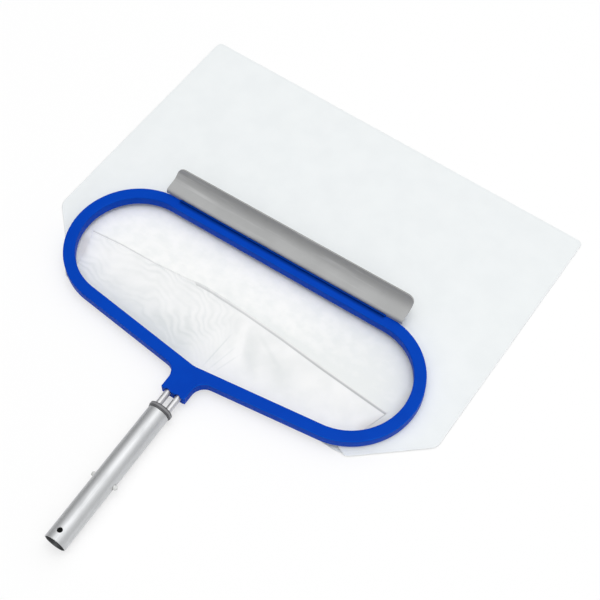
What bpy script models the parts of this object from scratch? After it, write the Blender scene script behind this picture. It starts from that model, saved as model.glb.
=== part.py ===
"""Leaf skimmer net: a moulded ring frame on one bent rod, with a scoop blade, a flat mesh bag
and a tubular spigot with a sprung clip that takes a telescopic pole.

Run with: blender --background --python part.py

Everything is placed from the ring's datum: x across the ring, y from the handle towards the
blade with zero at the centres of the ring's round ends, and z from the ring's middle plane,
where the rod and the spigot have their axes. One empty lifts the datum to its height above
the surface that the net lies on. Left is the side of negative x.
"""
import math

import bmesh
import bpy
from mathutils import Matrix, Vector

MM = 0.001

# Fits
SEAT_GAP = 0.3 * MM            # between pieces that touch
WELD_DISTANCE = 0.01 * MM
CUT_MARGIN = 2.0 * MM          # how far a cutter runs past what it cuts

# Ring frame
RING_HALF_STRAIGHT = 162.5 * MM    # from the middle to the centre of a round end
RING_END_RADIUS = 84.5 * MM        # of the ring's centreline
RING_WIDTH = 15.4 * MM
RING_HEIGHT = 14.8 * MM
RAIL_SLOPE = math.radians(6.9)     # of the two near rails, falling to the neck
EDGE_RADIUS = 2.4 * MM
INNER_VERTEX_RADIUS = 30.0 * MM
NECK_WIDTH = 34.0 * MM
NECK_END = -141.0 * MM
NECK_FILLET = 18.0 * MM
NECK_NOTCH_RADIUS = 5.6 * MM       # arch in the neck's end over each rod leg
NECK_NOTCH_DEPTH = 1.6 * MM

# Bent rod
ROD_DIAMETER = 8.5 * MM
ROD_BEND = 14.0 * MM
ROD_GRIP = 26.5 * MM               # length of each leg inside the plug

# Bag retainers, hem cord and hub cover
RETAINER_WIDTH = 5.5 * MM
RETAINER_THICKNESS = 2.5 * MM
HEM_CORD_DIAMETER = 2.4 * MM
COVER_THICKNESS = 2.4 * MM
COVER_REACH = 25.0 * MM
COVER_RIM = 2.6 * MM               # wall of the hub round the cover

# Hub screws
SCREW_SHANK = 2.9 * MM
SCREW_HEAD = 5.6 * MM
SCREW_HEAD_HEIGHT = 1.4 * MM
SCREW_LENGTH = 8.0 * MM
NECK_SCREW_OFFSETS = (14.0 * MM, 29.0 * MM)    # from the neck's end, on the middle line
SIDE_SCREW_X = 20.5 * MM
SIDE_SCREW_OFFSET = 29.5 * MM

# Scoop blade and its seat on the far rail
BLADE_LENGTH = 359.0 * MM
BLADE_THICKNESS = 2.2 * MM
BLADE_FLAT = 14.5 * MM             # width of the nearly level part
BLADE_FLAT_SLOPE = math.radians(6.0)
BLADE_CURL_RADIUS = 15.5 * MM
BLADE_CURL = math.radians(66.0)
BLADE_RISE = 6.2 * MM              # level part above the rail's top face
BLADE_EDGE = 4.0 * MM              # straight stretch beyond the curl
BLADE_CORNER_RADIUS = 10.0 * MM
BLADE_INSET = 0.4 * MM             # tongue's middle plane inside the rail's outer edge
TONGUE_THICKNESS = 2.4 * MM
TONGUE_DEPTH = 6.0 * MM            # into the rail, below its top face
LIP_LENGTH = 314.0 * MM
LIP_HEIGHT = 3.3 * MM
LIP_THICKNESS = 2.0 * MM
SEAT_WALL = 1.8 * MM               # behind the tongue
SEAT_DROP = 9.0 * MM               # of the seat's outer wall below the rail's top face

# Bag
SHEET_THICKNESS = 0.8 * MM
BAG_WIDTH = 591.0 * MM
BAG_SIDE = 348.0 * MM              # straight side edge
BAG_CORNER_DEPTH = 79.0 * MM       # of each slanted near corner
BAG_NEAR_WIDTH = 424.0 * MM
BAG_OFFSET = 170.5 * MM            # middle of the side edges from the datum
BAG_LIE = math.radians(-1.8)       # the bag lies slightly askew
FRONT_PANEL_HALF = 234.0 * MM
FRONT_SEAM_Y = -8.0 * MM           # far edge of the doubled front panel
FRONT_DROP = 22.0 * MM             # distance in which the front panel comes down
HEM_INSET = 1.0 * MM               # panel edges from the ring's centreline

# Spigot, plug and clip
TUBE_DIAMETER = 28.5 * MM
TUBE_WALL = 1.2 * MM
TUBE_LENGTH = 195.5 * MM
TUBE_CHAMFER = 0.35 * MM
FLANGE_FRONT = -163.3 * MM
FLANGE_DIAMETER = 31.0 * MM
FLANGE_LENGTH = 4.0 * MM
FLANGE_EASE = 0.8 * MM             # chamfer on the flange and the plug's end
STEP_DIAMETER = 29.6 * MM
STEP_LENGTH = 2.5 * MM
PLUG_LENGTH = 32.0 * MM            # inside the tube
PLUG_WALL = 0.7 * MM               # outside each rod bore
END_HOLE_DIAMETER = 6.4 * MM
END_HOLE_OFFSET = 12.7 * MM        # from the tube's open end
PIN_DIAMETER = 6.6 * MM
PIN_PROUD = 4.5 * MM               # pin beyond the tube
PIN_HOLE_DIAMETER = 7.8 * MM
PIN_HOLE_SHIFT = 0.25 * MM         # towards the open end, where the pin swings when pressed
ARM_LENGTH = 60.0 * MM
ARM_THICKNESS = 2.2 * MM
ARM_HEIGHT = 8.0 * MM
ARM_ROOT_X = 4.5 * MM
BEND_DEPTH = 12.2 * MM             # of the clip's closed end, from the arms' hinges
RIVET_DIAMETER = 4.0 * MM
RIVET_OFFSET = 14.0 * MM           # from the tube's plug end
RIVET_DEPTH = 4.5 * MM
RIVET_TILT = math.radians(225.0)   # round the tube, from straight up

# Facets
ARC_STEPS = 24                     # round one end of the ring
FILLET_STEPS = 6
CURL_STEPS = 10
CAP_STEPS = 4                      # round the blade's tip and the ring's inner vertex
TURN_STEPS = 32
SMALL_TURN_STEPS = 16
TUBE_STEPS = 48
PANEL_COLUMNS = (4, 12, 22, 12, 4)    # between the bag's corners
PANEL_ROWS = 7
PANEL_CROWDING = 1.6               # how the rows crowd towards the ring
FRONT_COLUMNS = 36
FRONT_ROWS = 6                     # where the front panel comes down

# Worked out from the sizes above
HALF_WIDTH = RING_WIDTH / 2
HALF_HEIGHT = RING_HEIGHT / 2
OUTER_RADIUS = RING_END_RADIUS + HALF_WIDTH
TUBE_RADIUS = TUBE_DIAMETER / 2
BORE_RADIUS = TUBE_RADIUS - TUBE_WALL
FLOOR = -TUBE_RADIUS
TUBE_START = FLANGE_FRONT - FLANGE_LENGTH - STEP_LENGTH
TUBE_END = TUBE_START - TUBE_LENGTH
PLUG_END = TUBE_START + SEAT_GAP - PLUG_LENGTH
CLIP_Y = PLUG_END - SEAT_GAP - BEND_DEPTH    # where both arms hinge
PIN_Y = CLIP_Y - ARM_LENGTH
CHANNEL_HALF = ROD_DIAMETER / 2 + SEAT_GAP
ROD_SPACING = 2 * (BORE_RADIUS - SEAT_GAP - PLUG_WALL - CHANNEL_HALF)
HEM_CORD_LATERAL = CHANNEL_HALF - SEAT_GAP - HEM_CORD_DIAMETER / 2
RETAINER_INNER = -CHANNEL_HALF + SEAT_GAP
RETAINER_OUTER = RETAINER_INNER + RETAINER_WIDTH
BLADE_PLANE = OUTER_RADIUS - BLADE_INSET
SHEET_TOP = FLOOR + SHEET_THICKNESS
PANEL_LOW = SHEET_TOP + SEAT_GAP
PANEL_HIGH = -HALF_HEIGHT - SEAT_GAP - SHEET_THICKNESS
AXIS_DOWN_HANDLE = (math.pi / 2, 0, 0)    # turns local z towards the tube's open end

BLUE = ("blue_plastic", (0.0, 0.055, 0.465), 0.28, 0.0)
GREY = ("grey_plastic", (0.36, 0.36, 0.35), 0.42, 0.0)
DARK = ("dark_plastic", (0.13, 0.13, 0.135), 0.5, 0.0)
ALUMINIUM = ("satin_aluminium", (0.72, 0.73, 0.74), 0.32, 1.0)
STEEL = ("steel", (0.6, 0.6, 0.6), 0.3, 1.0)
CLIP = ("clip_plastic", (0.62, 0.63, 0.62), 0.4, 0.0)
MESH = ("white_mesh", (0.87, 0.89, 0.9), 0.85, 0.0)
CORD = ("white_cord", (0.8, 0.8, 0.78), 0.8, 0.0)


def clear_scene():
    """Remove the objects that are there already."""
    for thing in list(bpy.data.objects):
        bpy.data.objects.remove(thing, do_unlink=True)


def new_collection(name):
    group = bpy.data.collections.new(name)
    bpy.context.scene.collection.children.link(group)
    return group


clear_scene()
PARTS = new_collection("leaf_skimmer_net")
CUTTERS = new_collection("cutters")


# Points and outlines

def arc(centre, radius, start, end, steps):
    """Points on an arc, both ends included."""
    angles = [start + (end - start) * step / steps for step in range(steps + 1)]
    return [(centre[0] + radius * math.cos(a), centre[1] + radius * math.sin(a)) for a in angles]


def mirrored(points):
    """The points on the other side of x = 0, in reverse order."""
    return [(-x, y) for x, y in reversed(points)]


def rail_y(x, lateral):
    """Height of a near rail's line at x, lateral outside the ring's centreline."""
    radius = RING_END_RADIUS + lateral
    across = (RING_HALF_STRAIGHT - abs(x)) * math.tan(RAIL_SLOPE)
    return -radius / math.cos(RAIL_SLOPE) - across


def end_arc(lateral, trim=0.0):
    """The right round end, from the near rail to the far rail."""
    start = -math.pi / 2 + RAIL_SLOPE + trim
    return arc((RING_HALF_STRAIGHT, 0), RING_END_RADIUS + lateral, start,
               math.pi / 2 - trim, ARC_STEPS)


def neck_arc(leg_x, lateral, radius, shift):
    """Round corner between a leg at leg_x and the rail line, moved outwards by shift."""
    centre_x = leg_x + radius
    centre_y = rail_y(centre_x, lateral) - radius / math.cos(RAIL_SLOPE)
    return arc((centre_x, centre_y), radius - shift, math.pi, math.pi / 2 + RAIL_SLOPE,
               FILLET_STEPS)


def half_loop(leg_x, lateral, radius, leg_end, shift=0.0):
    """Right half of a loop from a leg of the neck round to the far rail."""
    leg = [(leg_x + shift, leg_end)]
    return leg + neck_arc(leg_x, lateral, radius, shift) + end_arc(lateral + shift)


def frame_outline(inset):
    right = half_loop(NECK_WIDTH / 2, HALF_WIDTH, NECK_FILLET, NECK_END + inset, -inset)
    return right + mirrored(right)


def mouth_outline(inset):
    """The ring's inner edge, moved into the material by inset."""
    lateral = inset - HALF_WIDTH
    radius = INNER_VERTEX_RADIUS + inset
    centre = (0, rail_y(0, lateral) + radius / math.cos(RAIL_SLOPE))
    bottom = -math.pi / 2
    vertex = arc(centre, radius, bottom - RAIL_SLOPE, bottom + RAIL_SLOPE, CAP_STEPS)
    right = end_arc(lateral)
    return vertex + right + mirrored(right)


def rod_path(shift=0.0, leg_end=None):
    """The rod's centreline from one leg round the ring to the other."""
    if leg_end is None:
        leg_end = FLANGE_FRONT - ROD_GRIP
    right = half_loop(ROD_SPACING / 2, 0, ROD_BEND, leg_end, shift)
    return right + mirrored(right)


def channel_outline():
    leg_end = NECK_END - CUT_MARGIN
    inner = rod_path(-CHANNEL_HALF, leg_end)
    return rod_path(CHANNEL_HALF, leg_end) + inner[::-1]


def hub_outline(inset, reach, end):
    """The hub's underside inside a rim of inset, out to reach along both rails."""
    right = [(NECK_WIDTH / 2 - inset, end)]
    corner = neck_arc(NECK_WIDTH / 2, HALF_WIDTH, NECK_FILLET, -inset)
    right += [point for point in corner if point[0] < reach]
    right += [(reach, rail_y(reach, HALF_WIDTH - inset))]
    right += [(reach, rail_y(reach, inset - HALF_WIDTH))]
    return right + [(0, rail_y(0, inset - HALF_WIDTH))] + mirrored(right)


def turned_in(points, angle, centre):
    """The points turned about the origin and moved to centre."""
    c = math.cos(angle)
    s = math.sin(angle)
    return [(centre[0] + x * c - y * s, centre[1] + x * s + y * c) for x, y in points]


def bag_outline():
    """The bag's edge from its near right corner round to its near left one."""
    right = [(BAG_NEAR_WIDTH / 2, -BAG_SIDE / 2 - BAG_CORNER_DEPTH)]
    right += [(BAG_WIDTH / 2, -BAG_SIDE / 2), (BAG_WIDTH / 2, BAG_SIDE / 2)]
    return turned_in(right + mirrored(right), BAG_LIE, (0, BAG_OFFSET))


def ray_hit(outline, angle):
    """Where a ray from the datum last crosses a closed outline."""
    ray = Vector((math.cos(angle), math.sin(angle)))
    best = 0.0
    for start, end in zip(outline, outline[1:] + outline[:1]):
        edge = Vector(end) - Vector(start)
        cross = ray.x * edge.y - ray.y * edge.x
        if abs(cross) < 1e-12:
            continue
        along = (start[0] * edge.y - start[1] * edge.x) / cross
        share = (start[0] * ray.y - start[1] * ray.x) / cross
        if -1e-9 <= share <= 1 + 1e-9:
            best = max(best, along)
    return ray * best


def smooth_step(share):
    share = min(max(share, 0.0), 1.0)
    return share * share * (3 - 2 * share)


# Objects

def make_material(spec):
    name, colour, roughness, metallic = spec
    material = bpy.data.materials.get(name)
    if material:
        return material
    material = bpy.data.materials.new(name)
    material.use_nodes = True
    shader = material.node_tree.nodes["Principled BSDF"]
    shader.inputs["Base Color"].default_value = (*colour, 1.0)
    shader.inputs["Roughness"].default_value = roughness
    shader.inputs["Metallic"].default_value = metallic
    material.diffuse_color = (*colour, 1.0)
    return material


def place(thing, location=(0, 0, 0), rotation=(0, 0, 0), parent=None):
    thing.parent = parent or DATUM
    thing.location = location
    thing.rotation_euler = rotation
    return thing


def as_piece(thing, spec):
    """Make a mesh object one of the net's pieces."""
    PARTS.objects.link(thing)
    thing.data.materials.clear()
    thing.data.materials.append(make_material(spec))
    thing.data.shade_smooth()
    thing.data.set_sharp_from_angle(angle=math.radians(30))
    return thing


def as_cutter(thing):
    CUTTERS.objects.link(thing)
    thing.hide_render = True
    thing.display_type = "WIRE"
    return thing


def mesh_object(name, shape):
    """A mesh object from a bmesh, which is freed."""
    mesh = bpy.data.meshes.new(name)
    shape.to_mesh(mesh)
    shape.free()
    return bpy.data.objects.new(name, mesh)


def mesh_from_curve(name, curve):
    """A welded mesh object from curve data."""
    source = bpy.data.objects.new(name + "_curve", curve)
    bpy.context.scene.collection.objects.link(source)
    graph = bpy.context.evaluated_depsgraph_get()
    mesh = bpy.data.meshes.new_from_object(source.evaluated_get(graph))
    bpy.data.objects.remove(source, do_unlink=True)
    shape = bmesh.new()
    shape.from_mesh(mesh)
    bpy.data.meshes.remove(mesh)
    bmesh.ops.remove_doubles(shape, verts=shape.verts, dist=WELD_DISTANCE)
    return mesh_object(name, shape)


def add_spline(curve, points, cyclic):
    spline = curve.splines.new("POLY")
    spline.points.add(len(points) - 1)
    for slot, point in zip(spline.points, points):
        slot.co = (point[0], point[1], point[2] if len(point) > 2 else 0.0, 1.0)
    spline.use_cyclic_u = cyclic


def slab(name, outlines, low, high, edge=0.0):
    """A flat plate between two levels, with holes, and round edges of radius edge.

    The outlines lie edge inside the finished plate.
    """
    curve = bpy.data.curves.new(name, "CURVE")
    curve.dimensions = "2D"
    curve.fill_mode = "BOTH"
    curve.extrude = (high - low) / 2 - edge
    curve.bevel_depth = edge
    curve.bevel_resolution = 1
    for outline in outlines:
        add_spline(curve, outline, True)
    plate = mesh_from_curve(name, curve)
    plate.data.transform(Matrix.Translation((0, 0, (low + high) / 2)))
    return plate


def rod(name, path, radius, sides_step):
    """A round bar along a path, with flat ends."""
    curve = bpy.data.curves.new(name, "CURVE")
    curve.dimensions = "3D"
    curve.fill_mode = "FULL"
    curve.bevel_depth = radius
    curve.bevel_resolution = sides_step
    curve.use_fill_caps = True
    add_spline(curve, path, False)
    return mesh_from_curve(name, curve)


def box(name, low, high):
    shape = bmesh.new()
    bmesh.ops.create_cube(shape, size=1.0)
    size = [b - a for a, b in zip(low, high)]
    middle = [(a + b) / 2 for a, b in zip(low, high)]
    bmesh.ops.scale(shape, vec=size, verts=shape.verts)
    bmesh.ops.translate(shape, vec=middle, verts=shape.verts)
    return mesh_object(name, shape)


def cylinder(name, radius, length, steps=SMALL_TURN_STEPS):
    """A cylinder along z with its middle at the origin."""
    shape = bmesh.new()
    bmesh.ops.create_cone(shape, cap_ends=True, segments=steps, radius1=radius, radius2=radius,
                          depth=length)
    return mesh_object(name, shape)


def turned(name, profile, steps, closed=False):
    """A turned solid about z: its profile, radius and height, runs down the outer side."""
    shape = bmesh.new()
    points = [shape.verts.new((radius, 0, height)) for radius, height in profile]
    for start, end in zip(points, points[1:]):
        shape.edges.new((start, end))
    if closed:
        shape.edges.new((points[-1], points[0]))
    thing = mesh_object(name, shape)
    spin = thing.modifiers.new("Turn", "SCREW")
    spin.steps = steps
    spin.render_steps = steps
    spin.use_merge_vertices = True
    spin.merge_threshold = WELD_DISTANCE
    spin.use_smooth_shade = True
    return thing


def combine(target, other, operation):
    change = target.modifiers.new(operation.title(), "BOOLEAN")
    change.operation = operation
    change.solver = "EXACT"
    change.object = other
    tidy = target.modifiers.new("Weld", "WELD")
    tidy.merge_threshold = WELD_DISTANCE
    return target


def cut(target, *cutters):
    for cutter in cutters:
        combine(target, cutter, "DIFFERENCE")
    return target


# Frame

def make_blade_seat():
    """The raised lip, the seat's outer wall and what joins them to the far rail."""
    half = TONGUE_THICKNESS / 2 + SEAT_GAP
    low = (-LIP_LENGTH / 2, BLADE_PLANE - half - LIP_THICKNESS, HALF_HEIGHT - SEAT_DROP)
    high = (LIP_LENGTH / 2, BLADE_PLANE + half + SEAT_WALL, HALF_HEIGHT + LIP_HEIGHT)
    seat = place(as_cutter(box("blade_seat", low, high)))
    ease = seat.modifiers.new("Ease", "BEVEL")
    ease.width = min(LIP_THICKNESS, SEAT_WALL) / 3
    ease.segments = 2
    return seat


def make_blade_slot():
    half = TONGUE_THICKNESS / 2 + SEAT_GAP
    floor = HALF_HEIGHT - TONGUE_DEPTH - SEAT_GAP
    low = (-LIP_LENGTH / 2 - CUT_MARGIN, BLADE_PLANE - half, floor)
    high = (LIP_LENGTH / 2 + CUT_MARGIN, BLADE_PLANE + half, HALF_HEIGHT + 4 * LIP_HEIGHT)
    return place(as_cutter(box("blade_slot", low, high)))


def make_neck_notches():
    """Arches over the rod legs in the neck's end, down to the rods' middle."""
    notches = []
    for side in (-1, 1):
        notch = cylinder("neck_notch", NECK_NOTCH_RADIUS, 2 * RING_HEIGHT)
        y = NECK_END - NECK_NOTCH_RADIUS + NECK_NOTCH_DEPTH
        notches.append(place(as_cutter(notch), (side * ROD_SPACING / 2, y, RING_HEIGHT)))
    return notches


def make_frame_shell():
    outlines = [frame_outline(EDGE_RADIUS), mouth_outline(EDGE_RADIUS)]
    shell = slab("frame_shell", outlines, -HALF_HEIGHT, HALF_HEIGHT, EDGE_RADIUS)
    place(as_piece(shell, BLUE))
    combine(shell, make_blade_seat(), "UNION")
    cut(shell, make_blade_slot())
    deep = -HALF_HEIGHT - CUT_MARGIN
    channel = slab("channel", [channel_outline()], deep, CHANNEL_HALF)
    pocket_top = -HALF_HEIGHT + COVER_THICKNESS + SEAT_GAP
    pocket_outline = hub_outline(COVER_RIM, COVER_REACH + SEAT_GAP, NECK_END - CUT_MARGIN)
    pocket = slab("cover_pocket", [pocket_outline], deep, pocket_top)
    cutters = [place(as_cutter(thing)) for thing in (channel, pocket)]
    return cut(shell, *cutters, *make_neck_notches())


def make_bow_rod():
    bow = rod("bow_rod", rod_path(), ROD_DIAMETER / 2, 4)
    return place(as_piece(bow, ALUMINIUM))


def retainer(name, outline):
    """A blue strip pressed into the ring's channel from below."""
    low = -HALF_HEIGHT
    strip = slab(name, [outline], low, low + RETAINER_THICKNESS)
    return place(as_piece(strip, BLUE))


def make_retainers():
    """Five strips that close the channel and hold the bag's hem."""
    start = COVER_REACH + 2 * SEAT_GAP
    trim = SEAT_GAP / 2 / RING_END_RADIUS
    inner = end_arc(RETAINER_INNER, trim)
    outer = end_arc(RETAINER_OUTER, trim)
    end = inner + outer[::-1]
    rail_inner = end_arc(RETAINER_INNER, -trim)[0]
    rail_outer = end_arc(RETAINER_OUTER, -trim)[0]
    rail = [(start, rail_y(start, RETAINER_INNER)), rail_inner]
    rail += [rail_outer, (start, rail_y(start, RETAINER_OUTER))]
    half = RING_HALF_STRAIGHT
    low = RING_END_RADIUS + RETAINER_INNER
    high = RING_END_RADIUS + RETAINER_OUTER
    far = [(-half, low), (half, low), (half, high), (-half, high)]
    retainer("far_retainer", far)
    retainer("right_end_retainer", end)
    retainer("left_end_retainer", mirrored(end))
    retainer("near_right_retainer", rail)
    retainer("near_left_retainer", mirrored(rail))


def make_hem_cord():
    """The cord in the bag's hem, beside the retainers."""
    start = COVER_REACH + 2 * SEAT_GAP
    right = [(start, rail_y(start, HEM_CORD_LATERAL))] + end_arc(HEM_CORD_LATERAL)
    level = -HALF_HEIGHT + SEAT_GAP + HEM_CORD_DIAMETER / 2
    path = [(x, y, level) for x, y in right + mirrored(right)]
    return place(as_piece(rod("hem_cord", path, HEM_CORD_DIAMETER / 2, 2), CORD))


# Hub cover and its screws

def screw_places():
    middle = [(0, NECK_END + offset) for offset in NECK_SCREW_OFFSETS]
    side_y = NECK_END + SIDE_SCREW_OFFSET
    return middle + [(-SIDE_SCREW_X, side_y), (SIDE_SCREW_X, side_y)]


def screw_profile(grow):
    """Head and shank of a self-tapping screw, head down, grown all round by grow."""
    head = SCREW_HEAD / 2 + grow
    shank = SCREW_SHANK / 2 + grow
    tip = SCREW_LENGTH + grow
    profile = [(0, tip), (shank * 0.4, tip), (shank, tip - SCREW_SHANK / 2), (shank, grow)]
    profile += [(head, grow), (head, -SCREW_HEAD_HEIGHT / 2)]
    return profile + [(head * 0.75, -SCREW_HEAD_HEIGHT - grow), (0, -SCREW_HEAD_HEIGHT - grow)]


def make_hub_cover(shell):
    """The plate under the hub, with four screws into the frame."""
    outline = hub_outline(COVER_RIM + SEAT_GAP, COVER_REACH, NECK_END)
    low = -HALF_HEIGHT
    cover = slab("hub_cover", [outline], low, low + COVER_THICKNESS)
    place(as_piece(cover, BLUE))
    level = low + SCREW_HEAD_HEIGHT + SEAT_GAP
    for number, (x, y) in enumerate(screw_places(), start=1):
        screw = turned(f"hub_screw_{number}", screw_profile(0), SMALL_TURN_STEPS)
        place(as_piece(screw, STEEL), (x, y, level))
        hole = turned("screw_hole", screw_profile(SEAT_GAP), SMALL_TURN_STEPS)
        place(as_cutter(hole), (x, y, level))
        cut(cover, hole)
        cut(shell, hole)
    return cover


# Scoop blade

def blade_section():
    """Section of the blade across the rail: foot, level part, curl and edge, as (y, z)."""
    half = BLADE_THICKNESS / 2
    foot = TONGUE_THICKNESS / 2
    rise = HALF_HEIGHT + BLADE_RISE
    along = (math.cos(BLADE_FLAT_SLOPE), math.sin(BLADE_FLAT_SLOPE))
    bend = (BLADE_FLAT * along[0], rise + BLADE_FLAT * along[1])
    centre = (bend[0] - BLADE_CURL_RADIUS * along[1], bend[1] + BLADE_CURL_RADIUS * along[0])
    start = BLADE_FLAT_SLOPE - math.pi / 2
    end = start + BLADE_CURL
    hollow_side = arc(centre, BLADE_CURL_RADIUS - half, start, end, CURL_STEPS)
    round_side = arc(centre, BLADE_CURL_RADIUS + half, start, end, CURL_STEPS)
    edge = (centre[0] + BLADE_CURL_RADIUS * math.cos(end) - BLADE_EDGE * math.sin(end),
            centre[1] + BLADE_CURL_RADIUS * math.sin(end) + BLADE_EDGE * math.cos(end))
    tip = arc(edge, half, end + math.pi, end, CAP_STEPS)
    ground = HALF_HEIGHT + SEAT_GAP
    front = [(-foot, ground), (-foot, rise - half), (0, rise + half)]
    back = [(foot + half, rise - half), (foot, rise - 2 * half), (foot, ground)]
    return front + hollow_side + tip + round_side[::-1] + back


def make_blade_trim():
    """The blade's front view with its two round upper corners."""
    half = BLADE_LENGTH / 2
    radius = BLADE_CORNER_RADIUS
    reach = max(z for y, z in blade_section())
    corner = arc((half - radius, reach - radius), radius, 0, math.pi / 2, FILLET_STEPS)
    right = [(half, -HALF_HEIGHT)] + corner
    trim = slab("blade_trim", [right + mirrored(right)], -4 * RING_HEIGHT, RING_HEIGHT)
    return place(as_cutter(trim), (0, BLADE_PLANE, 0), AXIS_DOWN_HANDLE)


def make_scraper_blade():
    section = blade_section()
    blade = slab("scraper_blade", [section], -BLADE_LENGTH / 2, BLADE_LENGTH / 2)
    upright = Matrix(((0, 0, 1, 0), (1, 0, 0, 0), (0, 1, 0, 0), (0, 0, 0, 1)))
    blade.data.transform(upright)
    place(as_piece(blade, GREY), (0, BLADE_PLANE, 0))
    half = TONGUE_THICKNESS / 2
    length = LIP_LENGTH / 2 - SEAT_GAP
    low = (-length, -half, HALF_HEIGHT - TONGUE_DEPTH)
    high = (length, half, HALF_HEIGHT + BLADE_RISE - BLADE_THICKNESS)
    tongue = place(as_cutter(box("blade_tongue", low, high)), (0, BLADE_PLANE, 0))
    combine(blade, tongue, "UNION")
    return combine(blade, make_blade_trim(), "INTERSECT")


# Bag

def thicken(name, rows):
    """A sheet through a grid of points, thickened upwards by one cloth."""
    shape = bmesh.new()
    grid = [[shape.verts.new(point) for point in row] for row in rows]
    for row, above in zip(grid, grid[1:]):
        for a, b, c, d in zip(row, row[1:], above[1:], above):
            shape.faces.new((a, b, c, d))
    bmesh.ops.recalc_face_normals(shape, faces=shape.faces)
    if shape.faces[0].normal.z < 0:
        bmesh.ops.reverse_faces(shape, faces=shape.faces)
    sheet = mesh_object(name, shape)
    wall = sheet.modifiers.new("Cloth", "SOLIDIFY")
    wall.thickness = SHEET_THICKNESS
    wall.offset = 1.0
    return place(as_piece(sheet, MESH))


def make_floor_sheet():
    sheet = slab("bag_floor_sheet", [bag_outline()], FLOOR, SHEET_TOP)
    return place(as_piece(sheet, MESH))


def panel_angles():
    """Directions from the datum to the bag's corners, with steps between them."""
    corners = [math.atan2(y, x) for x, y in bag_outline()]
    corners = [a if a > corners[0] - 1e-9 else a + 2 * math.pi for a in corners]
    angles = []
    for start, end, steps in zip(corners, corners[1:], PANEL_COLUMNS):
        angles += [start + (end - start) * step / steps for step in range(steps)]
    return angles + [corners[-1]]


def panel_level(share):
    """Height of a panel's underside, from under the ring at 0 to the floor sheet at 1."""
    return PANEL_HIGH + (PANEL_LOW - PANEL_HIGH) * smooth_step(share)


def make_upper_panel():
    """The cloth from the ring's outer half out to the bag's edge, over the floor sheet."""
    right = end_arc(HEM_INSET)
    hem = [(0, rail_y(0, HEM_INSET))] + right + mirrored(right)
    edge = bag_outline()
    rows = []
    for number in range(PANEL_ROWS + 1):
        share = (number / PANEL_ROWS) ** PANEL_CROWDING
        row = []
        for angle in panel_angles():
            point = ray_hit(hem, angle).lerp(ray_hit(edge, angle), share)
            row.append((point.x, point.y, panel_level(share)))
        rows.append(row)
    return thicken("bag_upper_panel", rows)


def front_hem(x):
    """The near edge of the front panel under the ring, at x."""
    past = abs(x) - RING_HALF_STRAIGHT
    radius = RING_END_RADIUS - HEM_INSET
    tangent = RING_HALF_STRAIGHT + radius * math.sin(RAIL_SLOPE)
    if abs(x) < tangent:
        return rail_y(x, -HEM_INSET)
    return -math.sqrt(radius * radius - past * past)


def make_front_panel():
    """The doubled cloth from the near rails down to the floor sheet and over to its seam."""
    turns = [math.pi * (column / FRONT_COLUMNS - 0.5) for column in range(FRONT_COLUMNS + 1)]
    xs = [FRONT_PANEL_HALF * math.sin(turn) for turn in turns]
    rows = []
    for number in range(FRONT_ROWS + 1):
        share = number / FRONT_ROWS
        rows.append([(x, front_hem(x) + FRONT_DROP * share, panel_level(share)) for x in xs])
    rows.append([(x, FRONT_SEAM_Y + x * math.tan(BAG_LIE), PANEL_LOW) for x in xs])
    return thicken("bag_front_panel", rows)


# Spigot, plug, rivet and clip


def bored_along_x(name, radius, length, y):
    hole = cylinder(name, radius, length, TURN_STEPS)
    return place(as_cutter(hole), (0, y, 0), (0, math.pi / 2, 0))


def make_rivet_hole():
    hole = cylinder("rivet_hole", RIVET_DIAMETER / 2 + SEAT_GAP, TUBE_DIAMETER)
    return place_rivet(as_cutter(hole), TUBE_RADIUS - RIVET_DEPTH - SEAT_GAP + TUBE_RADIUS)


def place_rivet(thing, distance):
    """Set a piece's middle at a distance from the tube's axis, in the rivet's direction."""
    direction = (math.sin(RIVET_TILT), math.cos(RIVET_TILT))
    location = (direction[0] * distance, TUBE_START - RIVET_OFFSET, direction[1] * distance)
    return place(thing, location, (0, RIVET_TILT, 0))


def make_handle_tube(rivet_hole):
    inner = BORE_RADIUS
    outer = TUBE_RADIUS
    ease = TUBE_CHAMFER
    profile = [(outer - ease, TUBE_LENGTH), (outer, TUBE_LENGTH - ease), (outer, ease)]
    profile += [(outer - ease, 0), (inner + ease, 0), (inner, ease)]
    profile += [(inner, TUBE_LENGTH - ease), (inner + ease, TUBE_LENGTH)]
    tube = turned("handle_tube", profile, TUBE_STEPS, closed=True)
    place(as_piece(tube, ALUMINIUM), (0, TUBE_START, 0), AXIS_DOWN_HANDLE)
    span = TUBE_DIAMETER + 2 * CUT_MARGIN
    pins = bored_along_x("pin_holes", PIN_HOLE_DIAMETER / 2, span, PIN_Y - PIN_HOLE_SHIFT)
    end_hole = cylinder("end_hole", END_HOLE_DIAMETER / 2, span, TURN_STEPS)
    place(as_cutter(end_hole), (0, TUBE_END + END_HOLE_OFFSET, 0))
    return cut(tube, pins, end_hole, rivet_hole)


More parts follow.
